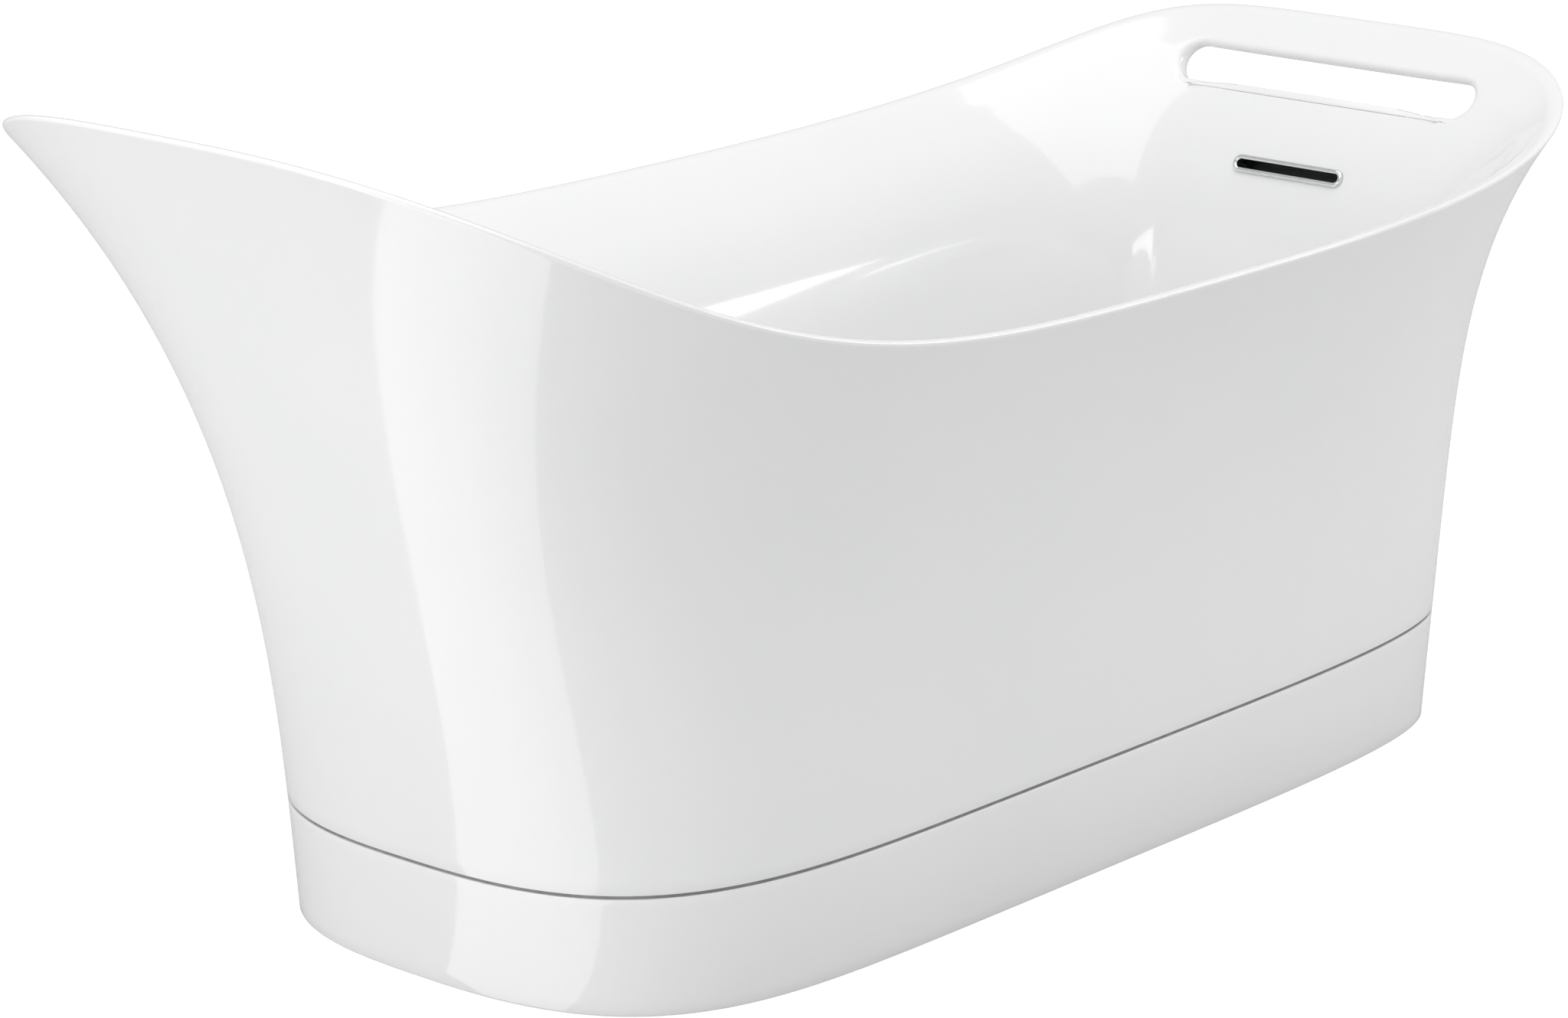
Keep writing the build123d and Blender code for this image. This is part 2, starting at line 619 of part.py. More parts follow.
GRIPS = 12
with BuildPart() as pipe_nuts:
    for plane in port_ends:
        with BuildSketch(plane.offset(-COUPLING_THREAD)):
            Circle(COUPLING_RADIUS)
            with PolarLocations(COUPLING_RADIUS, GRIPS):
                Circle(1.5, mode=Mode.SUBTRACT)
        extrude(amount=COUPLING_NUT)
        with BuildSketch(plane.offset(-COUPLING_THREAD)):
            Circle(PORT_RADIUS + RUN)
        extrude(amount=COUPLING_THREAD + COUPLING_SEAL, mode=Mode.SUBTRACT)
        with BuildSketch(plane):
            Circle(PORT_BORE)
        extrude(amount=COUPLING_NUT, mode=Mode.SUBTRACT)
save(pipe_nuts, "pipe_nuts")


# ---- waste: rings and discs on the drain's axis ----
def ring(outer, inner, low, high):
    """A round ring on the drain's axis."""
    with BuildPart() as body:
        with BuildSketch(Plane.XY.offset(low)):
            with Locations((DRAIN_X, 0)):
                Circle(outer)
                Circle(inner, mode=Mode.SUBTRACT)
        extrude(amount=high - low)
    return body.part


def cylinder_at(x, radius, low, high):
    with BuildPart() as body:
        with Locations((x, 0, low)):
            Cylinder(radius, high - low, align=(Align.CENTER, Align.CENTER, Align.MIN))
    return body.part


def disc(radius, low, high):
    return cylinder_at(DRAIN_X, radius, low, high)


FLANGE_SEAL = 1.0
FLANGE_RADIUS = TAIL_RADIUS + FLANGE_BAND
FLANGE_LOW = BASIN_FLOOR + FLANGE_SEAL
FLANGE_TOP = FLANGE_LOW + FLANGE_THICKNESS
TAIL_BORE = TAIL_RADIUS - TAIL_WALL
HUB_RADIUS = 9.0
HUB_TOP = 148.0
HUB_HEIGHT = 8.0
SPOKES = 3
CARTRIDGE_RADIUS = 6.0
with BuildPart() as drain_flange:
    add(disc(FLANGE_RADIUS, FLANGE_LOW, FLANGE_TOP))
    fillet(drain_flange.edges().group_by(Axis.Z)[-1], 3.0)
    add(disc(TAIL_RADIUS, TAIL_END, FLANGE_LOW))
    add(disc(TAIL_BORE, TAIL_END, FLANGE_TOP), mode=Mode.SUBTRACT)
    with Locations(Location((DRAIN_X, 0, PORT_HEIGHT), (0, 90, 0))):
        Cylinder(7.0, TAIL_RADIUS * 2.2, mode=Mode.SUBTRACT)
    with BuildSketch(Plane.XY.offset(HUB_TOP - HUB_HEIGHT)):
        with Locations((DRAIN_X, 0)):
            Circle(HUB_RADIUS)
            with PolarLocations(TAIL_BORE / 2, SPOKES):
                Rectangle(TAIL_BORE + 2.0, 4.0)
            Circle(CARTRIDGE_RADIUS + RUN, mode=Mode.SUBTRACT)
    extrude(amount=HUB_HEIGHT)
save(drain_flange, "drain_flange")

with BuildPart() as flange_seal:
    add(ring(FLANGE_RADIUS - 3.0, DRAIN_HOLE, BASIN_FLOOR, FLANGE_LOW))
save(flange_seal, "flange_seal")

CARTRIDGE_LOW = HUB_TOP - 14.0
CARTRIDGE_HIGH = HUB_TOP + 9.0
with BuildPart() as plug_cartridge:
    add(disc(CARTRIDGE_RADIUS, CARTRIDGE_LOW, CARTRIDGE_HIGH))
    add(disc(HUB_RADIUS, HUB_TOP, HUB_TOP + 4.0))
    add(disc(STEM_RADIUS + RUN, CARTRIDGE_LOW, CARTRIDGE_HIGH), mode=Mode.SUBTRACT)
save(plug_cartridge, "plug_cartridge")

PLUG_RADIUS = FLANGE_RADIUS - PLUG_MARGIN
PLUG_LOW = FLANGE_TOP + SLIP
PLUG_TOP = PLUG_LOW + PLUG_THICKNESS
PLUG_NECK = TAIL_BORE - 6.0
STEM_LOW = CARTRIDGE_LOW - 2.0
NECK_LOW = FLANGE_LOW - 2.0
with BuildPart() as drain_plug:
    add(disc(PLUG_RADIUS, PLUG_LOW, PLUG_TOP))
    fillet(drain_plug.edges().group_by(Axis.Z)[-1], 2.5)
    add(disc(PLUG_NECK, NECK_LOW, PLUG_LOW))
    add(disc(STEM_RADIUS, STEM_LOW, NECK_LOW))
save(drain_plug, "drain_plug")

with BuildPart() as plug_seal:
    add(ring(TAIL_BORE - SLIP, PLUG_NECK, FLANGE_LOW, PLUG_LOW))
save(plug_seal, "plug_seal")

FLOOR_GASKET = 4.0
GASKET_RADIUS = WASTE_RADIUS + 10.0
GASKET_LOW = BASIN_UNDERSIDE - FLOOR_GASKET
with BuildPart() as floor_gasket:
    add(ring(GASKET_RADIUS, DRAIN_HOLE, GASKET_LOW, BASIN_UNDERSIDE))
save(floor_gasket, "floor_gasket")

WASTE_LOW = 110.0
WASTE_FLANGE = 4.0
with BuildPart() as waste_body:
    add(disc(WASTE_RADIUS, WASTE_LOW, GASKET_LOW))
    add(disc(GASKET_RADIUS, GASKET_LOW - WASTE_FLANGE, GASKET_LOW))
    with BuildSketch(Plane(origin=(DRAIN_X, 0, PORT_HEIGHT), z_dir=(1, 0, 0))):
        Circle(PORT_RADIUS)
    extrude(amount=WASTE_PORT_END - DRAIN_X)
    add(disc(TAIL_RADIUS + RUN, WASTE_LOW, GASKET_LOW), mode=Mode.SUBTRACT)
    add(disc(WASTE_BORE, WASTE_LOW + 4.0, GASKET_LOW), mode=Mode.SUBTRACT)
    with BuildSketch(Plane(origin=(DRAIN_X, 0, PORT_HEIGHT), z_dir=(1, 0, 0))):
        Circle(PORT_BORE)
    extrude(amount=WASTE_PORT_END - DRAIN_X, mode=Mode.SUBTRACT)
save(waste_body, "waste_body")

WASTE_NUT = 9.0
WASTE_NUT_WALL = 7.0
with BuildPart() as waste_nut:
    with BuildSketch(Plane.XY.offset(WASTE_LOW - WASTE_NUT)):
        with Locations((DRAIN_X, 0)):
            RegularPolygon(TAIL_RADIUS + WASTE_NUT_WALL, 8, major_radius=False)
            Circle(TAIL_RADIUS + RUN, mode=Mode.SUBTRACT)
    extrude(amount=WASTE_NUT)
save(waste_nut, "waste_nut")

# ---- trap ----
TRAP_RADIUS = TAIL_RADIUS + TRAP_ROOM
COLLAR_RADIUS = TAIL_RADIUS + 4.0
COLLAR_TOP = TRAP_TOP + 6.0
TRAP_SEAL = 4.0
TRAP_NUT_LOW = TRAP_TOP + SLIP
TRAP_NUT_TOP = 98.0
TRAP_LOW = 12.0
DIP_LOW = 20.0
CAP_COLLAR = 4.0
CAP_BORE = COLLAR_RADIUS - 4.0
ELBOW_X = DRAIN_X - TRAP_RADIUS - OUTLET_LENGTH


def outlet(radius, low):
    """A pipe that runs level out of the trap, turns at a round elbow and goes down."""
    with BuildPart() as pipe:
        with BuildSketch(Plane(origin=(DRAIN_X, 0, OUTLET_HEIGHT), z_dir=(-1, 0, 0))):
            Circle(radius)
        extrude(amount=DRAIN_X - ELBOW_X)
        with Locations((ELBOW_X, 0, OUTLET_HEIGHT)):
            Sphere(radius)
        add(cylinder_at(ELBOW_X, radius, low, OUTLET_HEIGHT))
    return pipe.part


with BuildPart() as trap_body:
    add(disc(TRAP_RADIUS, TRAP_LOW, TRAP_TOP))
    fillet(trap_body.edges().group_by(Axis.Z)[-1], 3.0)
    add(disc(COLLAR_RADIUS, TRAP_TOP, COLLAR_TOP))
    add(disc(COLLAR_RADIUS, TRAP_LOW - CAP_COLLAR, TRAP_LOW))
    add(outlet(OUTLET_RADIUS + SPIGOT_SHOULDER, SPIGOT_TOP))
    add(cylinder_at(ELBOW_X, OUTLET_RADIUS, SPIGOT_LOW, OUTLET_HEIGHT))
    add(disc(TRAP_RADIUS - TRAP_WALL, TRAP_LOW + TRAP_WALL, TRAP_TOP - TRAP_WALL), mode=Mode.SUBTRACT)
    add(disc(CAP_BORE, TRAP_LOW - CAP_COLLAR, TRAP_LOW + TRAP_WALL), mode=Mode.SUBTRACT)
    add(outlet(OUTLET_RADIUS - TRAP_WALL, SPIGOT_LOW), mode=Mode.SUBTRACT)
    add(disc(TAIL_RADIUS + RUN, TAIL_END, COLLAR_TOP), mode=Mode.SUBTRACT)
    add(ring(TAIL_RADIUS + TRAP_WALL, TAIL_RADIUS + RUN, TAIL_END, TRAP_TOP - TRAP_WALL))
    add(ring(TAIL_RADIUS + TRAP_WALL, TAIL_BORE, DIP_LOW, TAIL_END))
save(trap_body, "trap_body")

with BuildPart() as trap_seal:
    add(ring(COLLAR_RADIUS, TAIL_RADIUS + RUN, COLLAR_TOP, COLLAR_TOP + TRAP_SEAL))
save(trap_seal, "trap_seal")

NUT_RADIUS = COLLAR_RADIUS + 6.0
with BuildPart() as trap_nut:
    with BuildSketch(Plane.XY.offset(TRAP_NUT_LOW)):
        with Locations((DRAIN_X, 0)):
            Circle(NUT_RADIUS)
            with PolarLocations(NUT_RADIUS, GRIPS):
                Circle(2.0, mode=Mode.SUBTRACT)
    extrude(amount=TRAP_NUT_TOP - TRAP_NUT_LOW)
    add(disc(COLLAR_RADIUS + RUN, TRAP_NUT_LOW, COLLAR_TOP + TRAP_SEAL), mode=Mode.SUBTRACT)
    add(disc(TAIL_RADIUS + RUN, TRAP_NUT_LOW, TRAP_NUT_TOP), mode=Mode.SUBTRACT)
save(trap_nut, "trap_nut")

CAP_SEAL = 1.5
CAP_SEAL_LOW = TRAP_LOW - CAP_COLLAR - CAP_SEAL
CAP_LOW = CAP_SEAL_LOW - 3.0
CAP_RADIUS = COLLAR_RADIUS + 5.0
with BuildPart() as trap_cap_seal:
    add(ring(COLLAR_RADIUS, COLLAR_RADIUS - 6.0, CAP_SEAL_LOW, CAP_SEAL_LOW + CAP_SEAL))
save(trap_cap_seal, "trap_cap_seal")

with BuildPart() as trap_cap:
    with BuildSketch(Plane.XY.offset(CAP_LOW)):
        with Locations((DRAIN_X, 0)):
            Circle(CAP_RADIUS)
            with PolarLocations(CAP_RADIUS, GRIPS):
                Circle(2.0, mode=Mode.SUBTRACT)
    extrude(amount=TRAP_LOW - SLIP - CAP_LOW)
    add(disc(COLLAR_RADIUS + RUN, CAP_SEAL_LOW, TRAP_LOW), mode=Mode.SUBTRACT)
save(trap_cap, "trap_cap")
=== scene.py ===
# %% [markdown]
# # A freestanding bathtub
# The tub is two glossy white skins joined at a thin rolled lip. It stands on a separate plinth,
# with a towel slot through the foot end and a chrome slot overflow below it.
# The engineering model is loaded first: every node in it is already in its place, in metres.

import math

import bpy
import numpy as np
from mathutils import Matrix, Vector


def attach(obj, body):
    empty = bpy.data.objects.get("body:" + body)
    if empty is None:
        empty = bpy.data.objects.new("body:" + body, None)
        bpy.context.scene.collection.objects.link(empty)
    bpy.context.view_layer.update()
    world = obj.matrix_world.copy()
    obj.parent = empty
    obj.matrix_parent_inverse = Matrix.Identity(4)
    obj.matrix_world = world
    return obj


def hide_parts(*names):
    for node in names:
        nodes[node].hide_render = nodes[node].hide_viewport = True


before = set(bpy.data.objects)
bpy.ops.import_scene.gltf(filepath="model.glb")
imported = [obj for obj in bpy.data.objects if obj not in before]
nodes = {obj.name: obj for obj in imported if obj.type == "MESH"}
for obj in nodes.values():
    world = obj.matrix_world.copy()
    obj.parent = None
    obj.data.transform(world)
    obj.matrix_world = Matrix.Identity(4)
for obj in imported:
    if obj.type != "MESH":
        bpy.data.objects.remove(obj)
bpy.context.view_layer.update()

# %% [markdown]
# ## The wall as a family of level curves
# A moulded tub has no flat faces to start from, so its wall is described the way a boat's hull is:
# one closed curve at each height. Each curve is a superellipse, which is an ellipse with fuller
# corners, and the head end and the foot end have their own fullness.
# Polynomials through a few stations say how far the wall has flared at each height. The same
# numbers drew the engineering model, so the finer skin made here follows it closely.

# %% Sizes of the wall, in millimetres
MM = 0.001
SETBACK = 55.0  # the base sits this far towards the foot end
HALF_LENGTH = 900.0
BASE_REACH = 656.5
BASE_HALF_WIDTH = 308.5
LIP_HALF_WIDTH = 397.0
HEAD_RIM, SIDE_RIM, FOOT_RIM = 862.0, 611.0, 710.0
SHELL_BOTTOM = 122.0
PLINTH_TOP = 118.5
BASIN_FLOOR = 165.0
FLOOR_RADIUS = 70.0
LIP, CAVITY, CAVITY_DEPTH = 12.0, 67.0, 110.0
HEAD_POWERS = ((6.2, 2.2), (2.7, 3.1))
FOOT_POWERS = ((3.9, 3.75), (9.4, 3.9))


def through(stations):
    """The curve through a list of stations, as a function."""
    along, across = zip(*stations)
    return np.poly1d(np.polyfit(along, across, len(stations) - 1))


head_flare = through(((0, 0), (0.2, 0.066), (0.4, 0.197), (0.6, 0.374), (0.8, 0.619), (1, 1)))
foot_flare = through(((0, 0), (0.2, 0.089), (0.4, 0.259), (0.6, 0.410), (0.8, 0.592), (1, 1)))
side_flare = through(((0, 0), (0.3, 0.082), (0.6, 0.121), (0.85, 0.501), (1, 1), (1.2, 2.084),
                      (1.4, 3.740)))
foot_share = (FOOT_RIM - SIDE_RIM) / (HEAD_RIM - SIDE_RIM)
rim_line = through(((-1, 1), (-0.75, 0.528), (-0.5, 0.194), (-0.25, 0.045), (0, 0.007),
                    (0.25, 0.008 * foot_share), (0.5, 0.053 * foot_share),
                    (0.75, 0.249 * foot_share), (1, foot_share)))


def head_reach(z):
    return BASE_REACH + (HALF_LENGTH + SETBACK - BASE_REACH) * head_flare(z / HEAD_RIM)


def foot_reach(z):
    return BASE_REACH + (HALF_LENGTH - SETBACK - BASE_REACH) * foot_flare(z / FOOT_RIM)


def half_width(z):
    return BASE_HALF_WIDTH + (LIP_HALF_WIDTH - BASE_HALF_WIDTH) * side_flare(z / SIDE_RIM)


def rim_height(x):
    return SIDE_RIM + (HEAD_RIM - SIDE_RIM) * rim_line(x / HALF_LENGTH)


print("rim at head, middle, foot", [round(float(rim_height(x)), 1) for x in (-900, 0, 900)])

# %% [markdown]
# ## Two faces from one curve
# Seen from above, the outside of the tub and the inside of the bath are nearly the same curve.
# They are 12 mm apart at the lip and part to 67 mm lower down, where pipes and supports need room.
# A hyperbolic tangent makes that opening-out smooth, so reflections run over the lip unbroken.
# At the foot end a very soft fold runs along the bath's face, where the lip band meets the wall.

# %% Gaps of the two faces
FOLD_START, FOLD_RUN = 560.0, 200.0
FOLD_DEPTH, FOLD_HALF, FOLD_RISE = 27.0, 7.0, 0.9


def soft_fold(x, depth):
    """The height of the faint fold, which fades in towards the foot end."""
    towards_foot = np.clip((x - FOLD_START) / FOLD_RUN, 0.0, 1.0)
    along = towards_foot ** 2 * (3 - 2 * towards_foot)
    return FOLD_RISE * along * np.exp(-((depth - FOLD_DEPTH) / FOLD_HALF) ** 2)


def outer_gap(x, depth):
    return np.zeros_like(np.asarray(depth, dtype=float))


def basin_gap(x, depth):
    """How far the bath's face is inside the outer face, at a depth below the lip."""
    opening_out = np.tanh(np.maximum(depth, 0.0) / CAVITY_DEPTH)
    return LIP + (CAVITY - LIP) * opening_out + soft_fold(x, depth)


print("gap at the lip and 200 mm down", [round(float(basin_gap(0.0, d)), 1) for d in (0.0, 200.0)])

# %% [markdown]
# ## From a direction to a point on the wall
# A superellipse has no simple formula for the point in a given direction, but each direction holds
# only one such point. Halving the distance again and again finds it safely, even at full corners,
# and numpy does that for a whole ring at a time.

# %% Points on the wall
HALVINGS = 45
MEETING_STEPS = 14
FACE_STEPS = 10


def fullness(foot, axis, z):
    foot_low, foot_high = FOOT_POWERS[axis]
    head_low, head_high = HEAD_POWERS[axis]
    share = z / HEAD_RIM
    return np.where(foot, foot_low + (foot_high - foot_low) * share,
                    head_low + (head_high - head_low) * share)


def shares(turns, z):
    """Shares along and across of the points of a level curve in these directions."""
    c, s = np.cos(turns), np.sin(turns)
    power_x = fullness(c >= 0, 0, z)
    power_y = fullness(c >= 0, 1, z)
    low, high = np.zeros(np.broadcast(c, z).shape), np.full(np.broadcast(c, z).shape, 1.5)
    for _ in range(HALVINGS):
        middle = (low + high) / 2
        over = np.abs(middle * c) ** power_x + np.abs(middle * s) ** power_y > 1
        high = np.where(over, middle, high)
        low = np.where(over, low, middle)
    return low * c, low * s


def wall_points(turns, z, gap, shrink=0.0):
    """Points of one face of the wall, as an array of x, y, z."""
    along, across = shares(turns, z)
    reach = np.where(along >= 0, foot_reach(z), head_reach(z))
    outer_x = SETBACK + reach * along
    inset = gap(outer_x, rim_height(outer_x) - z) + shrink
    x = SETBACK + (reach - inset) * along
    y = (half_width(z) - inset) * across
    return np.stack([x, y, np.broadcast_to(z, x.shape)], axis=-1)


def foot_face_x(y, z, gap):
    """X of a face of the foot end at a place across and a height."""
    reach = foot_reach(z)
    power_x, power_y = fullness(True, 0, z), fullness(True, 1, z)
    along = np.ones(np.broadcast(y, z).shape)
    for _ in range(FACE_STEPS):
        outer_x = SETBACK + reach * along
        inset = gap(outer_x, rim_height(outer_x) - z)
        across = np.minimum(np.abs(y) / (half_width(z) - inset), 0.999)
        along = (1 - across ** power_y) ** (1 / power_x)
    return SETBACK + (reach - inset) * along


SLOT_Z = 642.0
slot_out = float(foot_face_x(0.0, SLOT_Z, outer_gap))
slot_in = float(foot_face_x(0.0, SLOT_Z, basin_gap))
print("at the slot: outer x", round(slot_out, 1), "bath x", round(slot_in, 1))

# %% [markdown]
# ## A grid that runs up the outside and down the inside
# One sheet of quads covers both skins: it starts under the shell's bottom edge, climbs the outside,
# rolls over the lip and goes down to the drain. The columns are fixed directions round the tub.
# Rows are close together near the lip and the slot, where the shape turns fast.

# %% Columns and the height of the lip in each
COLUMNS = 384
LOWEST_LIP, HIGHEST_LIP = 560.0, 880.0
turns = -math.pi + 2 * math.pi * np.arange(COLUMNS) / COLUMNS


def lip_height(turns):
    """The height at which the outer face reaches the rim, in each direction."""
    low, high = np.full(turns.shape, LOWEST_LIP), np.full(turns.shape, HIGHEST_LIP)
    for _ in range(HALVINGS):
        z = (low + high) / 2
        x = wall_points(turns, z, outer_gap)[..., 0]
        above = z > rim_height(x)
        high = np.where(above, z, high)
        low = np.where(above, low, z)
    return (low + high) / 2


lip_z = lip_height(turns)
print("lip from", round(float(lip_z.min()), 1), "to", round(float(lip_z.max()), 1))

# %% [markdown]
# ## The outside of the sheet
# The shell is one moulding whose bottom edge is barely broken, so a few rows turn that small edge
# and the short return under it. The rest climb to a shoulder just under the lip, in shrinking steps.

# %% Rows up the outside
LIP_DROP = 7.0
EDGE = 0.7
RETURN_DEPTH, RETURN_RISE = 13.0, 4.0
WALL_ROWS = 74
BUNCH = 1.35


def eased(count, bunch):
    """Shares from 0 to 1, closer together towards 1."""
    t = np.linspace(0, 1, count)
    return 1 - (1 - t) ** bunch


rows = []
owner = []


def add_row(points, piece):
    rows.append(np.asarray(points))
    owner.append(piece)


flat = np.full(COLUMNS, SHELL_BOTTOM)
add_row(wall_points(turns, flat + RETURN_RISE, outer_gap, RETURN_DEPTH + 1.0), "shell")
add_row(wall_points(turns, flat, outer_gap, RETURN_DEPTH), "shell")
add_row(wall_points(turns, flat, outer_gap, EDGE * 1.2), "shell")
add_row(wall_points(turns, flat + EDGE * 0.3, outer_gap, EDGE * 0.3), "shell")

shoulder = lip_z - LIP_DROP
for share in eased(WALL_ROWS, BUNCH):
    add_row(wall_points(turns, flat + EDGE + (shoulder - flat - EDGE) * share, outer_gap), "shell")
OUTER_TOP_ROW = len(rows) - 1
print("rows up the outside", len(rows))

# %% [markdown]
# ## The rolled lip
# Acrylic sheet is trimmed and polished to a soft round along its edge. A cubic Bezier from one
# shoulder to the other leaves each face in that face's own direction, so no line shows where the
# round begins. A bevel could do this too, but its width would change where the wall leans more.

# %% Rows over the lip
LIP_HANDLE = 8.6
LIP_STEPS = 15
PROBE = 2.0


def bezier(start, handle_a, handle_b, end, t):
    """A point, or a whole ring of them, along a cubic Bezier curve."""
    s = 1 - t
    return s ** 3 * start + 3 * t * s ** 2 * handle_a + 3 * t * t * s * handle_b + t ** 3 * end


start = wall_points(turns, shoulder, outer_gap)
start_up = wall_points(turns, shoulder + PROBE, outer_gap) - start
end = wall_points(turns, shoulder, basin_gap)
end_up = wall_points(turns, shoulder + PROBE, basin_gap) - end
start_up *= LIP_HANDLE / np.linalg.norm(start_up, axis=1, keepdims=True)
end_up *= LIP_HANDLE / np.linalg.norm(end_up, axis=1, keepdims=True)
for t in np.linspace(0, 1, LIP_STEPS)[1:-1]:
    add_row(bezier(start, start + start_up, end + end_up, end, t), "basin")
BASIN_TOP_ROW = len(rows)
lip_top = rows[-(LIP_STEPS // 2)]
print("lip rows", LIP_STEPS - 2, "height of the round", round(float(lip_top[0, 2] - shoulder[0]), 1))

# %% [markdown]
# ## The inside of the bath
# The bathing face goes down to a knee, turns on a 70 mm radius and becomes the floor. The last rows
# shrink from the floor's edge to the round drain hole, and one more turns down into the hole.

# %% Rows down the inside
KNEE_STEPS = 15
FLOOR_STEPS = 14
DRAIN_LIP = 5.0
knee = BASIN_FLOOR + FLOOR_RADIUS
for share in 1 - eased(WALL_ROWS, BUNCH)[::-1]:
    add_row(wall_points(turns, shoulder + (knee - shoulder) * share, basin_gap), "basin")
BASIN_KNEE_ROW = len(rows) - 1
for angle in np.linspace(0, math.pi / 2, KNEE_STEPS)[1:]:
    z = np.full(COLUMNS, BASIN_FLOOR + FLOOR_RADIUS * (1 - math.sin(angle)))
    add_row(wall_points(turns, z, basin_gap, FLOOR_RADIUS * (1 - math.cos(angle))), "basin")

DRAIN_X, DRAIN_HOLE = 480.0, 25.0
floor_edge = rows[-1]
drain = np.stack([DRAIN_X + DRAIN_HOLE * np.cos(turns), DRAIN_HOLE * np.sin(turns),
                  np.full(COLUMNS, BASIN_FLOOR)], axis=-1)
for t in np.linspace(0, 1, FLOOR_STEPS)[1:]:
    add_row(floor_edge * (1 - t) + drain * t, "basin")
add_row(drain - (0, 0, DRAIN_LIP), "basin")
print("rows", len(rows), "columns", COLUMNS)

# %% [markdown]
# ## Cutting the slot and the overflow without spoiling the sheet
# A boolean cut would leave long thin triangles, and a gloss finish shows every one of them.
# Instead a window of quads is left out, and rings of new points shrink from the window's edge to
# the mouth of the opening. Every ring lies on the wall itself, so the gloss stays smooth.
# The mouth is rounded over by a Bezier curve, as a vacuum-formed edge is.
# Both openings have round ends, so they are drawn on a plane that leans with the wall.

# %% A leaning plane to draw on


class LeaningPlane:
    """A plane on the foot wall: u across the tub, v up the slope, n out through the wall."""

    def __init__(self, x, z, lean):
        self.origin = np.array((x, 0.0, z))
        self.u = np.array((0.0, 1.0, 0.0))
        self.v = np.array((math.cos(lean), 0.0, math.sin(lean)))
        self.n = np.array((math.sin(lean), 0.0, -math.cos(lean)))

    def at(self, u, v, n):
        return (self.origin + np.multiply.outer(u, self.u) + np.multiply.outer(v, self.v)
                + np.multiply.outer(n, self.n))

    def on_face(self, u, v, gap):
        """The point of a face of the wall straight through the plane at u, v."""
        n = np.zeros_like(u)
        for _ in range(MEETING_STEPS):
            p = self.at(u, v, n)
            n = n + (foot_face_x(p[:, 1], p[:, 2], gap) - p[:, 0]) * self.n[0]
        return self.at(u, v, n)


def lean_of(z, gap, span=10.0):
    """The slope of a face of the foot wall at a height."""
    run = foot_face_x(0.0, z + span / 2, gap) - foot_face_x(0.0, z - span / 2, gap)
    return math.atan2(span, float(run))


print("lean at the slot", round(math.degrees(lean_of(SLOT_Z, basin_gap)), 1), "degrees")

# %% [markdown]
# ## Windows in the sheet
# A window is a block of quads, and its edge is a loop of points that the sheet already has. The
# first ring of an opening starts on that loop, so there is nothing to weld afterwards.

# %% Windows and their loops
points = np.concatenate(rows)
left_out = set()


def window(first_row, last_row, half_span, bottom, top):
    """Rows and columns of the quads round an opening at the foot end."""
    middle = COLUMNS // 2
    inside = [r for r in range(first_row, last_row) if bottom <= rows[r][middle, 2] <= top]
    level = rows[(inside[0] + inside[-1]) // 2]
    reach = 1
    while level[middle + reach, 1] < half_span:
        reach += 1
    return inside[0], inside[-1], middle - reach, middle + reach


def window_loop(r0, r1, c0, c1, rising):
    """Point numbers round a window, clockwise seen from the foot, from its top left."""
    top, bottom = (r1, r0) if rising else (r0, r1)
    step = 1 if top > bottom else -1
    loop = [(top, c) for c in range(c0, c1)]
    loop += [(r, c1) for r in range(top, bottom, -step)]
    loop += [(bottom, c) for c in range(c1, c0, -1)]
    loop += [(r, c0) for r in range(bottom, top, step)]
    return np.array([r * COLUMNS + c for r, c in loop])


def leave_out(r0, r1, c0, c1):
    left_out.update((r, c) for r in range(r0, r1) for c in range(c0, c1))


print("points in the sheet", len(points))

# %% [markdown]
# ## Rings of an opening
# A ring is a loop of new points with the same count as the window's loop. Two loops of equal count
# are joined by quads, pair by pair, so the rings can turn from the wall into the opening freely.

# %% Rings and bridges
ring_points = []
faces = {"shell": [], "basin": []}
ROUND_HANDLE = 0.56


def new_ring(ring):
    """Adds points and gives their numbers."""
    first = len(points) + sum(len(r) for r in ring_points)
    ring_points.append(ring)
    return np.arange(first, first + len(ring))


def bridge(loop_a, loop_b, piece):
    for j in range(len(loop_a)):
        k = (j + 1) % len(loop_a)
        faces[piece].append((loop_a[j], loop_a[k], loop_b[k], loop_b[j]))


def rounded(start, corner, end, count):
    """Rings of a Bezier from one loop to another past their sharp corner."""
    for t in np.linspace(0, 1, count)[1:-1]:
        yield bezier(start, start + ROUND_HANDLE * (corner - start),
                     end + ROUND_HANDLE * (corner - end), end, t)


def outline(loop_points, plane, core):
    """Core point and direction of each place round a round-ended opening."""
    offset = loop_points - plane.origin
    u, v = offset @ plane.u, offset @ plane.v
    heart = np.clip(u, -core, core)
    away = np.stack([u - heart, v], axis=-1)
    away /= np.linalg.norm(away, axis=1, keepdims=True)
    return heart, away, u, v


def rings_to(loop, u, v, plane, gap, heart, away, size, count, piece, outward=False):
    """Rings on the wall from a window's edge to a mouth; gives the mouth's point numbers."""
    mouth_u, mouth_v = heart + size * away[:, 0], size * away[:, 1]
    made = [loop]
    for t in np.linspace(0, 1, count)[1:]:
        ring = plane.on_face(u * (1 - t) + mouth_u * t, v * (1 - t) + mouth_v * t, gap)
        made.append(new_ring(ring))
    if outward:
        made = made[::-1]
    for a, b in zip(made, made[1:]):
        bridge(a, b, piece)
    return made[0] if outward else made[-1]


def chain(last, rings, piece):
    """Joins each of these rings to the one before; gives the last one's point numbers."""
    for ring in rings:
        numbers = new_ring(ring)
        bridge(last, numbers, piece)
        last = numbers
    return last


print("a ring's handles reach", ROUND_HANDLE, "of the way to the corner")

# %% [markdown]
# ## The towel slot
# The slot is a grab hole for a towel or a hand: a long opening with round ends through both skins,
# 398 mm long and 46 mm high. Its edge is a softer round outside than inside.
# The two skins get windows with the same rows and columns, one through each.

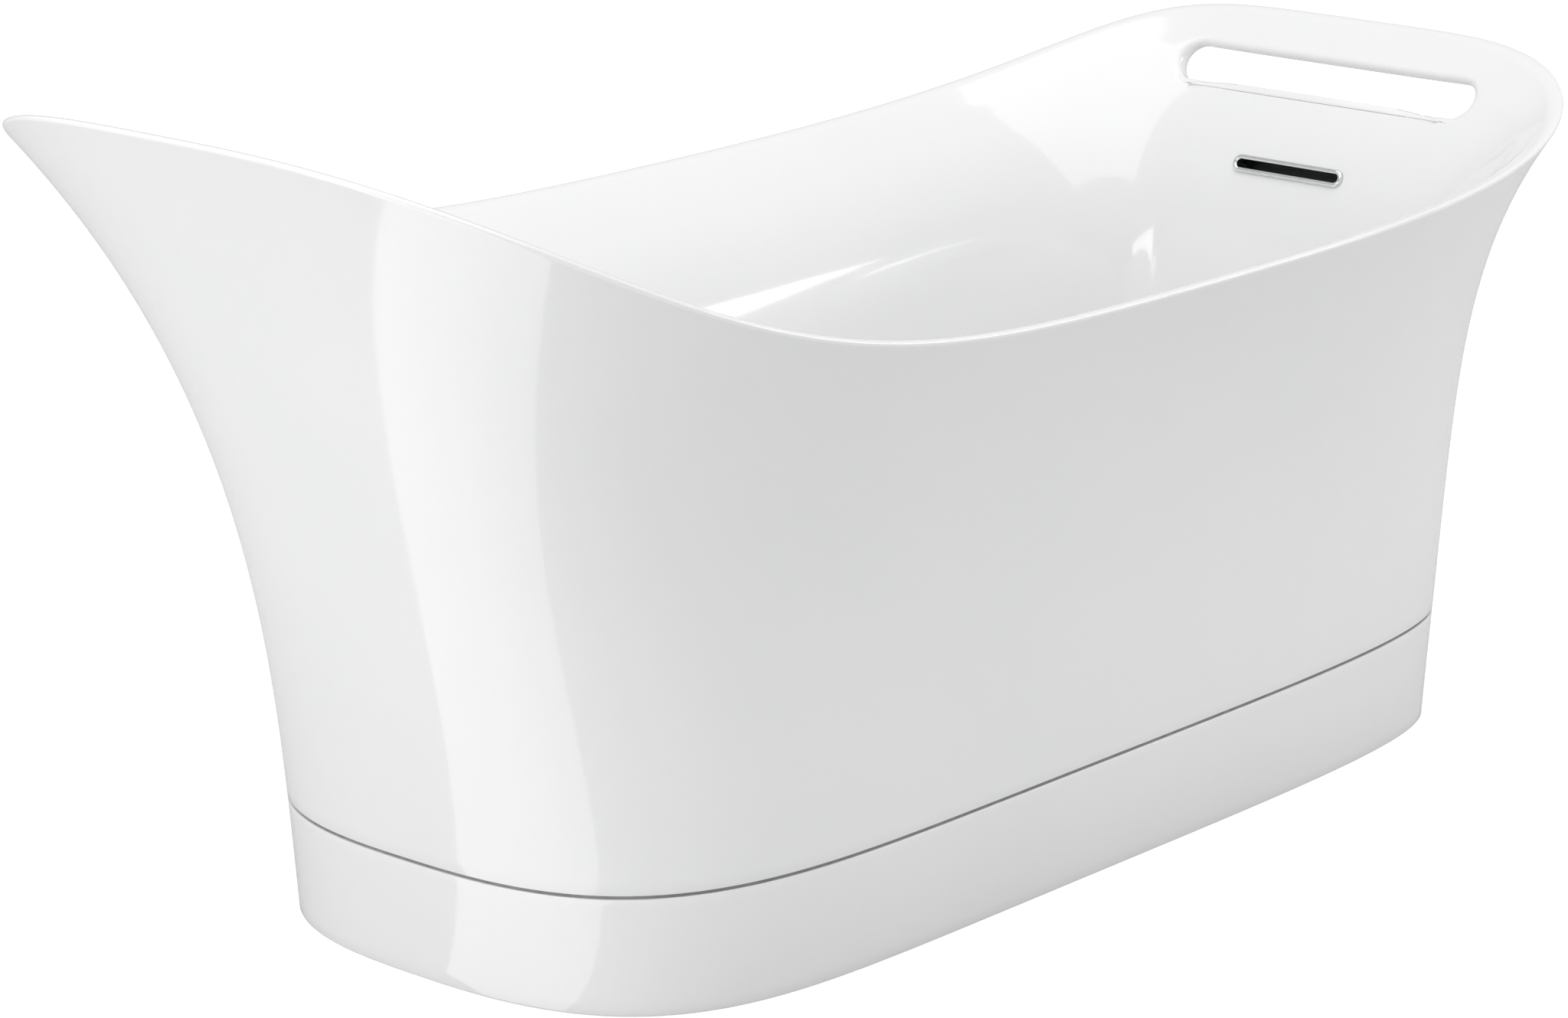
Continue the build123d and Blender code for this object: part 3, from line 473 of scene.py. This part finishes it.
# %% Plan of the towel slot
SLOT_LENGTH, SLOT_WIDTH = 398.0, 46.0
SLOT_EDGE, OUT_EDGE = 8.0, 13.0
WINDOW_MARGIN = 14.0
OUT_WINDOW_HEIGHTS = (594.0, 672.0)
IN_WINDOW_HEIGHTS = (612.0, 690.0)
FIRST_WALL_ROW = 4
slot_lean = (lean_of(SLOT_Z, outer_gap) + lean_of(SLOT_Z, basin_gap)) / 2
slot_plane = LeaningPlane((slot_out + slot_in) / 2, SLOT_Z, slot_lean)
slot_radius = SLOT_WIDTH / 2
slot_core = SLOT_LENGTH / 2 - slot_radius
slot_span = SLOT_LENGTH / 2 + SLOT_EDGE + WINDOW_MARGIN
out_window = window(FIRST_WALL_ROW, OUTER_TOP_ROW, slot_span, *OUT_WINDOW_HEIGHTS)
in_window = window(BASIN_TOP_ROW, BASIN_KNEE_ROW, slot_span, *IN_WINDOW_HEIGHTS)
height = min(out_window[1] - out_window[0], in_window[1] - in_window[0])
columns_used = (min(out_window[2], in_window[2]), max(out_window[3], in_window[3]))
out_window = (out_window[1] - height, out_window[1], *columns_used)
in_window = (in_window[0], in_window[0] + height, *columns_used)
print("slot window rows", out_window, in_window)

# %% [markdown]
# ## Through the wall of the slot
# Rings close in on the mouth along the bath's face, turn over its rounded edge, cross the cavity
# between the skins, turn over the outer edge and open out again along the outer face. The bath's
# skin makes the liner of the slot, so only the outer edge belongs to the shell.

# %% Shape the towel slot
IN_FACE_RINGS, OUT_FACE_RINGS = 6, 5
IN_ROUND_RINGS, OUT_ROUND_RINGS = 9, 8
THROAT_RINGS = 5
in_loop = window_loop(*in_window, rising=False)
out_loop = window_loop(*out_window, rising=True)
leave_out(*in_window)
leave_out(*out_window)
heart, away, in_u, in_v = outline(points[in_loop], slot_plane, slot_core)
_, _, out_u, out_v = outline(points[out_loop], slot_plane, slot_core)


def slot_face(grow, gap):
    """Loop on a face of the wall, this far outside the slot's edge."""
    size = slot_radius + grow
    return slot_plane.on_face(heart + size * away[:, 0], size * away[:, 1], gap)


in_mouth = rings_to(in_loop, in_u, in_v, slot_plane, basin_gap, heart, away,
                    slot_radius + SLOT_EDGE, IN_FACE_RINGS, "basin")
in_corner = slot_face(0.0, basin_gap)
in_throat = in_corner + SLOT_EDGE * slot_plane.n
out_corner = slot_face(0.0, outer_gap)
out_throat = out_corner - OUT_EDGE * slot_plane.n
in_round = rounded(slot_face(SLOT_EDGE, basin_gap), in_corner, in_throat, IN_ROUND_RINGS)
throat = [in_throat * (1 - t) + out_throat * t for t in np.linspace(0, 1, THROAT_RINGS)]
out_round = rounded(out_throat, out_corner, slot_face(OUT_EDGE, outer_gap), OUT_ROUND_RINGS)
last = chain(in_mouth, in_round, "basin")
last = chain(last, throat, "basin")
last = chain(last, out_round, "shell")
out_mouth = rings_to(out_loop, out_u, out_v, slot_plane, outer_gap, heart, away,
                     slot_radius + OUT_EDGE, OUT_FACE_RINGS, "shell", outward=True)
bridge(last, out_mouth, "shell")
print("slot through", round(float(np.linalg.norm(out_corner - in_corner, axis=1).mean()), 1), "mm")

# %% [markdown]
# ## The opening behind the overflow
# The overflow's frame covers a slot that is a little larger than its sleeve. Only the bath's skin is
# cut, so one ring at the mouth and one at the back of the skin are enough.

# %% Shape the overflow opening
OVERFLOW_Z, OVERFLOW_LENGTH, OVERFLOW_WIDTH, BAND = 555.0, 148.0, 20.0, 5.5
SKIN = 5.9
SLEEVE_ROOM = 1.5
OVERFLOW_WINDOW_HEIGHTS = (530.0, 580.0)
OVERFLOW_MARGIN = 16.0
OVERFLOW_FACE_RINGS = 5
overflow_plane = LeaningPlane(float(foot_face_x(0.0, OVERFLOW_Z, basin_gap)), OVERFLOW_Z,
                              lean_of(OVERFLOW_Z, basin_gap))
HOLE_RADIUS = OVERFLOW_WIDTH / 2 - BAND + SLEEVE_ROOM
overflow_core = OVERFLOW_LENGTH / 2 - OVERFLOW_WIDTH / 2
over_window = window(BASIN_TOP_ROW, BASIN_KNEE_ROW, OVERFLOW_LENGTH / 2 + OVERFLOW_MARGIN,
                     *OVERFLOW_WINDOW_HEIGHTS)
over_loop = window_loop(*over_window, rising=False)
leave_out(*over_window)
over_heart, over_away, over_u, over_v = outline(points[over_loop], overflow_plane,
                                                 overflow_core)
hole = rings_to(over_loop, over_u, over_v, overflow_plane, basin_gap, over_heart, over_away,
                HOLE_RADIUS, OVERFLOW_FACE_RINGS, "basin")
hole_front = np.concatenate(ring_points)[hole - len(points)]
hole_back = new_ring(hole_front + SKIN * overflow_plane.n)
bridge(hole, hole_back, "basin")
print("overflow window", over_window)

# %% [markdown]
# ## Two skins, one run of light
# The shell and the bath are separate pieces that meet just under the lip. If each worked out its
# own smooth shading, a faint crease would show where they meet. The sheet is shaded once as a
# whole, and each skin then carries the normals that it had there.

# %% Join the sheet, shade it, and split it into skins
for r in range(len(rows) - 1):
    piece = owner[r + 1]
    for c in range(COLUMNS):
        if (r, c) not in left_out:
            right = (c + 1) % COLUMNS
            a, b = r * COLUMNS, (r + 1) * COLUMNS
            faces[piece].append((a + c, a + right, b + right, b + c))
sheet_points = np.concatenate([points, *ring_points]) * MM
whole = bpy.data.meshes.new("whole_sheet")
whole.from_pydata(sheet_points.tolist(), [], faces["shell"] + faces["basin"])
whole.update()
sheet_normals = np.empty(len(sheet_points) * 3, dtype=np.float32)
whole.vertex_normals.foreach_get("vector", sheet_normals)
sheet_normals = sheet_normals.reshape(-1, 3)
bpy.data.meshes.remove(whole)


def show(name, mesh, body="tub", stands_for=()):
    """Puts a mesh in the scene as a piece that rides on a body."""
    piece = bpy.data.objects.new(name, mesh)
    bpy.context.scene.collection.objects.link(piece)
    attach(piece, body)
    if stands_for:
        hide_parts(*stands_for)
    return piece


def skin(name, piece_faces, stands_for):
    used = np.unique(np.array(piece_faces))
    renumber = np.zeros(len(sheet_points), dtype=int)
    renumber[used] = np.arange(len(used))
    mesh = bpy.data.meshes.new(name)
    mesh.from_pydata(sheet_points[used].tolist(), [], renumber[np.array(piece_faces)].tolist())
    mesh.shade_smooth()
    mesh.normals_split_custom_set_from_vertices(sheet_normals[used].tolist())
    print(name, "points", len(used), "faces", len(piece_faces))
    return show(name, mesh, stands_for=(stands_for,))


skin("gloss_shell", faces["shell"], "outer_shell")
skin("gloss_bath", faces["basin"], "inner_basin")

# %% [markdown]
# ## The plinth
# The bath stands on a ring of the same glossy white. Its top edge is barely broken, so that the
# joint with the shell reads as one thin grey line round the tub. One small profile, carried round
# the same directions as the sheet, makes the whole ring.

# %% Build the plinth
PLINTH_WALL = 10.0
SHARP_ANGLE = math.radians(50)
plinth_profile = [(PLINTH_WALL, 0.0), (1.6, 0.0), (0.5, 0.4), (0.0, 1.6)]
plinth_profile += [(0.0, z) for z in np.linspace(12.0, PLINTH_TOP - 8.0, 8)]
plinth_profile += [(0.0, PLINTH_TOP - 0.8), (0.22, PLINTH_TOP - 0.22), (0.8, PLINTH_TOP)]
plinth_profile += [(PLINTH_WALL - 0.8, PLINTH_TOP), (PLINTH_WALL, PLINTH_TOP - 0.8)]
plinth_rings = [wall_points(turns, np.full(COLUMNS, z), outer_gap, inset)
                for inset, z in plinth_profile]


def tube_of_rings(name, rings):
    """A closed band through rings of equal count, the last joined to the first."""
    count = len(rings[0])
    mesh_faces = []
    for r in range(len(rings)):
        a, b = r * count, (r + 1) % len(rings) * count
        for c in range(count):
            right = (c + 1) % count
            mesh_faces.append((a + c, a + right, b + right, b + c))
    mesh = bpy.data.meshes.new(name)
    mesh.from_pydata((np.concatenate(rings) * MM).tolist(), [], mesh_faces)
    mesh.shade_smooth()
    mesh.set_sharp_from_angle(angle=SHARP_ANGLE)
    return mesh


show("gloss_plinth", tube_of_rings("gloss_plinth", plinth_rings), "tub", ("plinth",))
print("plinth rings", len(plinth_rings))

# %% [markdown]
# ## The chrome overflow
# A slot overflow has a cast and polished frame. It is thin, but its front is a full round, which
# is what gives chrome its bright and dark lines. It is swept here as rings round the opening.

# %% Build the overflow frame
TRIM_PROFILE = ((0.0, -0.6), (0.0, -1.9), (0.35, -2.9), (1.1, -3.6), (2.2, -3.97), (3.3, -3.9),
                (4.4, -3.4), (5.1, -2.5), (5.5, -1.2), (5.5, 0.6), (5.5, 6.0), (5.5, 15.8),
                (4.3, 15.8), (4.3, 0.4), (2.0, -0.6))
ARC_POINTS, SIDE_POINTS = 24, 28


def stadium(size, core, plane, depth):
    """Loop of a round-ended outline: half circles at each end and even steps along the sides."""
    arc = np.linspace(-math.pi / 2, math.pi / 2, ARC_POINTS)
    side = np.linspace(-core, core, SIDE_POINTS + 2)[1:-1]
    u = np.concatenate([core + size * np.cos(arc), side[::-1], -core - size * np.cos(arc), side])
    v = np.concatenate([size * np.sin(arc), np.full(SIDE_POINTS, size), -size * np.sin(arc),
                        np.full(SIDE_POINTS, -size)])
    return plane.at(u, v, np.full(len(u), depth))


trim_rings = [stadium(OVERFLOW_WIDTH / 2 - inset, overflow_core, overflow_plane, depth)
              for inset, depth in TRIM_PROFILE]
show("chrome_overflow_frame", tube_of_rings("chrome_overflow_frame", trim_rings), "tub",
     ("overflow_trim",))
print("trim rings", len(trim_rings), "points round", len(trim_rings[0]))

# %% [markdown]
# ## Finishes
# Every finish is made of nodes, with its colour, roughness and fine relief varied a little, because
# nothing that is moulded, plated or sawn is perfectly even. Object coordinates are metres here,
# so a noise scale of 100 gives lumps about a centimetre across.

# %% Helpers for finishes


def new_finish(name):
    """A material with its node tree, its main shader and a coordinate source."""
    material = bpy.data.materials.new(name)
    material.use_nodes = True
    tree = material.node_tree
    shader = tree.nodes["Principled BSDF"]
    place = tree.nodes.new("ShaderNodeTexCoord")
    return material, tree, shader, place.outputs["Object"]


def noise(tree, place, scale, detail=3.0, stretch=None):
    if stretch:
        mapping = tree.nodes.new("ShaderNodeMapping")
        mapping.inputs["Scale"].default_value = stretch
        tree.links.new(place, mapping.inputs["Vector"])
        place = mapping.outputs["Vector"]
    node = tree.nodes.new("ShaderNodeTexNoise")
    node.inputs["Scale"].default_value = scale
    node.inputs["Detail"].default_value = detail
    tree.links.new(place, node.inputs["Vector"])
    return node.outputs["Fac"]


def spread(tree, factor, low, high):
    """A factor stretched between two values."""
    node = tree.nodes.new("ShaderNodeMapRange")
    node.inputs["From Min"].default_value = 0.3
    node.inputs["From Max"].default_value = 0.7
    node.inputs["To Min"].default_value = low
    node.inputs["To Max"].default_value = high
    tree.links.new(factor, node.inputs["Value"])
    return node.outputs["Result"]


def tint(tree, factor, one, other):
    ramp = tree.nodes.new("ShaderNodeValToRGB")
    ramp.color_ramp.elements[0].color = (*one, 1)
    ramp.color_ramp.elements[1].color = (*other, 1)
    ramp.color_ramp.elements[0].position = 0.3
    ramp.color_ramp.elements[1].position = 0.7
    tree.links.new(factor, ramp.inputs["Fac"])
    return ramp.outputs["Color"]


def relief(tree, height, depth, strength=1.0, under=None):
    bump = tree.nodes.new("ShaderNodeBump")
    bump.inputs["Strength"].default_value = strength
    bump.inputs["Distance"].default_value = depth
    tree.links.new(height, bump.inputs["Height"])
    if under:
        tree.links.new(under, bump.inputs["Normal"])
    return bump.outputs["Normal"]


def edge_wear(tree, low, high):
    """Brighter where the piece has convex edges, from the mesh's pointiness."""
    geometry = tree.nodes.new("ShaderNodeNewGeometry")
    node = tree.nodes.new("ShaderNodeMapRange")
    node.inputs["From Min"].default_value = low
    node.inputs["From Max"].default_value = high
    tree.links.new(geometry.outputs["Pointiness"], node.inputs["Value"])
    return node.outputs["Result"]


def give(material, *names):
    for name in names:
        piece = nodes[name] if name in nodes else bpy.data.objects[name]
        piece.data.materials.clear()
        piece.data.materials.append(material)
    print(material.name, "on", len(names), "pieces")


# %% [markdown]
# ## Gloss white acrylic
# Cast acrylic is white all through, with a clear wet-looking skin. Under studio light it is a soft
# white with broad, clean reflections, very slightly wavy where the sheet was stretched in forming.

# %% Make the acrylic


def acrylic(name, one, other):
    material, tree, shader, place = new_finish(name)
    cloud = noise(tree, place, 3.0, 2.0)
    tree.links.new(tint(tree, cloud, one, other), shader.inputs["Base Color"])
    tree.links.new(spread(tree, noise(tree, place, 38.0, 4.0), 0.085, 0.125),
                   shader.inputs["Roughness"])
    wave = relief(tree, noise(tree, place, 9.0, 1.0), 0.0006, 0.35)
    skin_grain = relief(tree, noise(tree, place, 420.0, 2.0), 0.00002, 0.4, wave)
    tree.links.new(skin_grain, shader.inputs["Normal"])
    shader.inputs["IOR"].default_value = 1.49
    shader.inputs["Coat Weight"].default_value = 0.35
    shader.inputs["Coat Roughness"].default_value = 0.03
    return material


# All three are the same acrylic. The shell's and the plinth's copies are painted a shade darker,
# which is painted shade on the outside. The bath's copy is painted a shade lighter, which is painted
# light inside the bath.
shell_white_painted_shade = acrylic("gloss_white_shell_painted_shade", (0.79, 0.795, 0.795), (0.81, 0.812, 0.81))
give(shell_white_painted_shade, "gloss_shell")
bath_white_painted_light = acrylic("gloss_white_bath_painted_light", (0.865, 0.868, 0.868), (0.88, 0.882, 0.88))
give(bath_white_painted_light, "gloss_bath")
plinth_white_painted_shade = acrylic("gloss_white_plinth_painted_shade", (0.79, 0.79, 0.79), (0.81, 0.81, 0.81))
give(plinth_white_painted_shade, "gloss_plinth")

# %% [markdown]
# ## Chrome
# Chrome is nearly a mirror, so its roughness is very low; fingers and water leave a faint uneven
# haze.

# %% Make the chrome
chrome, tree, shader, place = new_finish("polished_chrome")
haze = noise(tree, place, 60.0, 5.0)
tree.links.new(tint(tree, haze, (0.74, 0.75, 0.77), (0.82, 0.83, 0.84)), shader.inputs["Base Color"])
tree.links.new(spread(tree, haze, 0.04, 0.11), shader.inputs["Roughness"])
tree.links.new(relief(tree, noise(tree, place, 900.0, 2.0), 0.00001, 0.3), shader.inputs["Normal"])
shader.inputs["Metallic"].default_value = 1.0
give(chrome, "chrome_overflow_frame", "drain_flange", "drain_plug")

# %% [markdown]
# ## Metals under the bath
# The frame is square steel tube with a sprayed grey coat, worn to brighter metal at the corners.
# The fasteners and feet are zinc plated, with the faint streaks of barrel plating.

# %% Make the frame paint, the zinc and the brass


def worn_edges(material, bare):
    """Shows bare metal where a coat has rubbed off the convex edges."""
    tree = material.node_tree
    shader = tree.nodes["Principled BSDF"]
    worn = tree.nodes.new("ShaderNodeMix")
    worn.data_type = "RGBA"
    painted = shader.inputs["Base Color"].links[0].from_socket
    tree.links.new(edge_wear(tree, 0.52, 0.6), worn.inputs["Factor"])
    tree.links.new(painted, worn.inputs["A"])
    worn.inputs["B"].default_value = (*bare, 1)
    tree.links.new(worn.outputs["Result"], shader.inputs["Base Color"])


def metal(name, one, other, rough, shine, streaks, grain):
    material, tree, shader, place = new_finish(name)
    patch = noise(tree, place, 45.0, 6.0, streaks)
    tree.links.new(tint(tree, patch, one, other), shader.inputs["Base Color"])
    tree.links.new(spread(tree, noise(tree, place, 170.0, 4.0), *rough), shader.inputs["Roughness"])
    tree.links.new(relief(tree, noise(tree, place, grain, 3.0), 0.00008, 0.5),
                   shader.inputs["Normal"])
    shader.inputs["Metallic"].default_value = shine
    return material


frame_paint = metal("sprayed_grey_steel", (0.30, 0.31, 0.32), (0.38, 0.39, 0.40), (0.38, 0.52), 0.35,
                    (1, 1, 1), 700.0)
zinc = metal("zinc_plate", (0.55, 0.56, 0.56), (0.70, 0.70, 0.67), (0.26, 0.42), 1.0, (1, 1, 5),
             500.0)
brass = metal("turned_brass", (0.62, 0.46, 0.20), (0.74, 0.57, 0.28), (0.18, 0.32), 1.0, (1, 1, 9),
              800.0)
worn_edges(frame_paint, (0.55, 0.55, 0.54))
give(frame_paint, "long_rails", "cross_rails", "plinth_brackets")
give(zinc, "frame_bolts", "foot_locknuts", "bracket_bolts", "plinth_screws",
     *(f"foot_stud_{i}" for i in range(1, 6)))
give(brass, "plug_cartridge")

# %% [markdown]
# ## Rubber, pipe plastic and board
# Seals are matt black rubber with a bloom, and the joint strip round the plinth is grey. Waste
# pipes are white or grey polypropylene with a satin, slightly grainy face. The base board is
# moulded chipboard: pale flakes pressed together. One helper serves all, since each of these is a
# dull surface that differs only in colour, roughness and grain.

# %% Make the plastics, the rubber and the board


def satin(name, one, other, rough, scale, grain, depth):
    material, tree, shader, place = new_finish(name)
    tree.links.new(tint(tree, noise(tree, place, scale, 5.0), one, other),
                   shader.inputs["Base Color"])
    tree.links.new(spread(tree, noise(tree, place, scale * 3, 3.0), *rough),
                   shader.inputs["Roughness"])
    tree.links.new(relief(tree, noise(tree, place, grain, 3.0), depth, 0.6), shader.inputs["Normal"])
    return material


rubber = satin("seal_rubber", (0.018, 0.018, 0.019), (0.04, 0.04, 0.042), (0.62, 0.82), 70.0, 900.0,
               0.00008)
joint_rubber = satin("joint_strip_rubber", (0.20, 0.20, 0.205), (0.27, 0.27, 0.275), (0.6, 0.8),
                     60.0, 900.0, 0.00008)
pipe_white = satin("waste_pipe_plastic", (0.70, 0.70, 0.68), (0.77, 0.77, 0.75), (0.32, 0.46), 40.0,
                   650.0, 0.00006)
pad_black = satin("foot_pad_plastic", (0.03, 0.03, 0.032), (0.055, 0.055, 0.058), (0.45, 0.62), 80.0,
                  700.0, 0.0001)
# The overflow body is painted near black. This is painted shade, standing in for the shadow deep in
# the recess behind the overflow slot.
overflow_body_painted_shade = satin("overflow_body_plastic_painted_shade", (0.03, 0.03, 0.03), (0.05, 0.05, 0.05), (0.4, 0.6), 60.0,
                    600.0, 0.00006)
board = satin("pressed_chipboard", (0.42, 0.30, 0.18), (0.66, 0.52, 0.35), (0.7, 0.9), 190.0, 260.0,
              0.0005)
give(rubber, "overflow_seal", "pipe_seals", "flange_seal", "plug_seal", "floor_gasket", "trap_seal",
     "trap_cap_seal")
give(joint_rubber, "plinth_gasket")
give(pipe_white, "overflow_pipe", "pipe_nuts", "waste_body", "waste_nut", "trap_body", "trap_nut",
     "trap_cap")
give(pad_black, *(f"foot_pad_{i}" for i in range(1, 6)))
give(overflow_body_painted_shade, "overflow_body")
give(board, "base_board")

# %% [markdown]
# ## Floor
# The tub stands on a plain pale floor that runs off to white in every direction. One sheet is only
# seen and another, just below it, only bounces light, so each can be as bright as its job needs.

# %% Lay the floor
FLOOR_SIZE, FLOOR_GREY, FLOOR_ROUGHNESS = 60.0, 0.74, 0.9
PLAIN_ROUGHNESS = 0.5


def plain_finish(name, grey, glow, roughness=PLAIN_ROUGHNESS, gloss=0.0):
    """A plain grey finish for the stage, lifted towards white by a glow."""
    finish = bpy.data.materials.new(name)
    finish.use_nodes = True
    surface = finish.node_tree.nodes["Principled BSDF"]
    surface.inputs["Base Color"].default_value = (grey, grey, grey, 1)
    surface.inputs["Roughness"].default_value = roughness
    surface.inputs["Specular IOR Level"].default_value = gloss
    surface.inputs["Emission Color"].default_value = (1, 1, 1, 1)
    surface.inputs["Emission Strength"].default_value = glow
    return finish


def hide_from(piece, *kinds):
    """Takes a piece out of these kinds of light."""
    for kind in kinds:
        setattr(piece, f"visible_{kind}", False)


def sheet_floor(name, height, glow):
    """A plain floor sheet at this height."""
    half = FLOOR_SIZE / 2
    corners = [(-half, -half, height), (half, -half, height), (half, half, height),
               (-half, half, height)]
    mesh = bpy.data.meshes.new(name)
    mesh.from_pydata(corners, [], [(0, 1, 2, 3)])
    sheet = bpy.data.objects.new(name, mesh)
    bpy.context.scene.collection.objects.link(sheet)
    mesh.materials.append(plain_finish(name, FLOOR_GREY, glow, FLOOR_ROUGHNESS))
    return sheet


seen_floor = sheet_floor("pale_floor", -0.0004, 0.60)
hide_from(seen_floor, "diffuse", "glossy", "shadow")
bounce_floor = sheet_floor("bounce_floor", -0.001, 0.0)
hide_from(bounce_floor, "camera")
print("floor", FLOOR_SIZE, "m")

# %% [markdown]
# ## White surround
# A studio backdrop runs from floor to ceiling without an edge. A large glowing ball round the whole
# scene does the same from any side, and it is only seen, so it adds no light of its own. The even
# light of the room comes from the world's background.

# %% Put up the white surround
SURROUND_RADIUS = 28.0
world = bpy.data.worlds.new("studio_surround")
bpy.context.scene.world = world
world.use_nodes = True
world.node_tree.nodes["Background"].inputs["Color"].default_value = (1, 1, 1, 1)
world.node_tree.nodes["Background"].inputs["Strength"].default_value = 0.565
bpy.context.scene.view_settings.view_transform = "Standard"

bpy.ops.mesh.primitive_uv_sphere_add(segments=48, ring_count=24, radius=SURROUND_RADIUS)
surround = bpy.context.object
surround.name = "white_surround"
surround.data.materials.append(plain_finish("white_surround", 0, 1.0))
hide_from(surround, "diffuse", "glossy", "transmission", "volume_scatter", "shadow")
print("surround radius", SURROUND_RADIUS, "m")

# %% [markdown]
# ## Soft lights
# A large soft box overhead fills the bath, and two smaller ones light the head end and the foot
# end. The long side is left a little darker, and that difference is what shows its shape.

# %% Hang the soft lights


def soft_box(name, place, aim, size, watts):
    """An area light of this width and height, turned to face a point."""
    data = bpy.data.lights.new(name, "AREA")
    data.shape = "RECTANGLE"
    data.size, data.size_y = size
    data.energy = watts
    lamp = bpy.data.objects.new(name, data)
    lamp.location = place
    facing = Vector(aim) - Vector(place)
    lamp.rotation_euler = facing.to_track_quat("-Z", "Y").to_euler()
    bpy.context.scene.collection.objects.link(lamp)
    return lamp


overhead = soft_box("overhead_soft_box", (-0.4, -0.5, 4.1), (0.1, 0.1, 0.4), (5.6, 4.6), 106.0)
head_side = soft_box("head_side_soft_box", (-4.2, 0.1, 1.0), (-0.6, 0.0, 0.4), (2.2, 1.8), 54.0)
foot_side = soft_box("foot_side_soft_box", (3.4, -3.6, 1.3), (0.6, -0.3, 0.4), (1.8, 1.6), 42.0)
print("watts", [lamp.data.energy for lamp in (overhead, head_side, foot_side)])

# %% [markdown]
# ## A reflector card
# Gloss is drawn by what it mirrors. A wedge of bright card on the floor, fanning out from the near
# corner of the head end, is what puts a tall bright band with a crisp edge down that corner.
# It is seen only by mirrored light, so it neither shows on the floor nor lights the tub evenly.

# %% Lay the reflector card
CARD = ((-0.57, -0.165), (-1.35, -0.72), (-1.75, 0.10), (-1.40, 0.50), (-0.62, -0.02))
CARD_HEIGHT, CARD_GLOW, CARD_GLOSS = 0.002, 1.8, 0.5
card_mesh = bpy.data.meshes.new("reflector_card")
card_mesh.from_pydata([(x, y, CARD_HEIGHT) for x, y in CARD], [], [tuple(range(len(CARD)))])
card = bpy.data.objects.new("reflector_card", card_mesh)
bpy.context.scene.collection.objects.link(card)
hide_from(card, "camera", "diffuse", "shadow")
card_mesh.materials.append(plain_finish("card_glow", 0, CARD_GLOW, gloss=CARD_GLOSS))
print("card corners", len(CARD))

# %% [markdown]
# ## Camera
# The tub is seen from beyond its head end and a little above, through a long lens, so that its
# sides stay nearly parallel.

# %% Set the camera
CAMERA_PLACE = Vector((-3.7395, -3.2826, 1.7489))
AZIMUTH, ELEVATION, ROLL = math.radians(-48.124), math.radians(15.907), math.radians(-0.396)
LENS = 117.04
back = Vector((math.sin(AZIMUTH) * math.cos(ELEVATION), -math.cos(AZIMUTH) * math.cos(ELEVATION),
               math.sin(ELEVATION)))
level = (-back).cross(Vector((0, 0, 1))).normalized()
upward = level.cross(-back)
right = math.cos(ROLL) * level + math.sin(ROLL) * upward
above = -math.sin(ROLL) * level + math.cos(ROLL) * upward
camera_data = bpy.data.cameras.new("camera")
camera_data.sensor_width = 36.0
camera_data.lens = LENS
camera_data.clip_end = 200.0
camera = bpy.data.objects.new("camera", camera_data)
camera.matrix_world = Matrix.Translation(CAMERA_PLACE) @ Matrix(
    (right, above, back)).transposed().to_4x4()
bpy.context.scene.collection.objects.link(camera)
bpy.context.scene.camera = camera
print("camera distance", round(CAMERA_PLACE.length, 3), "m")
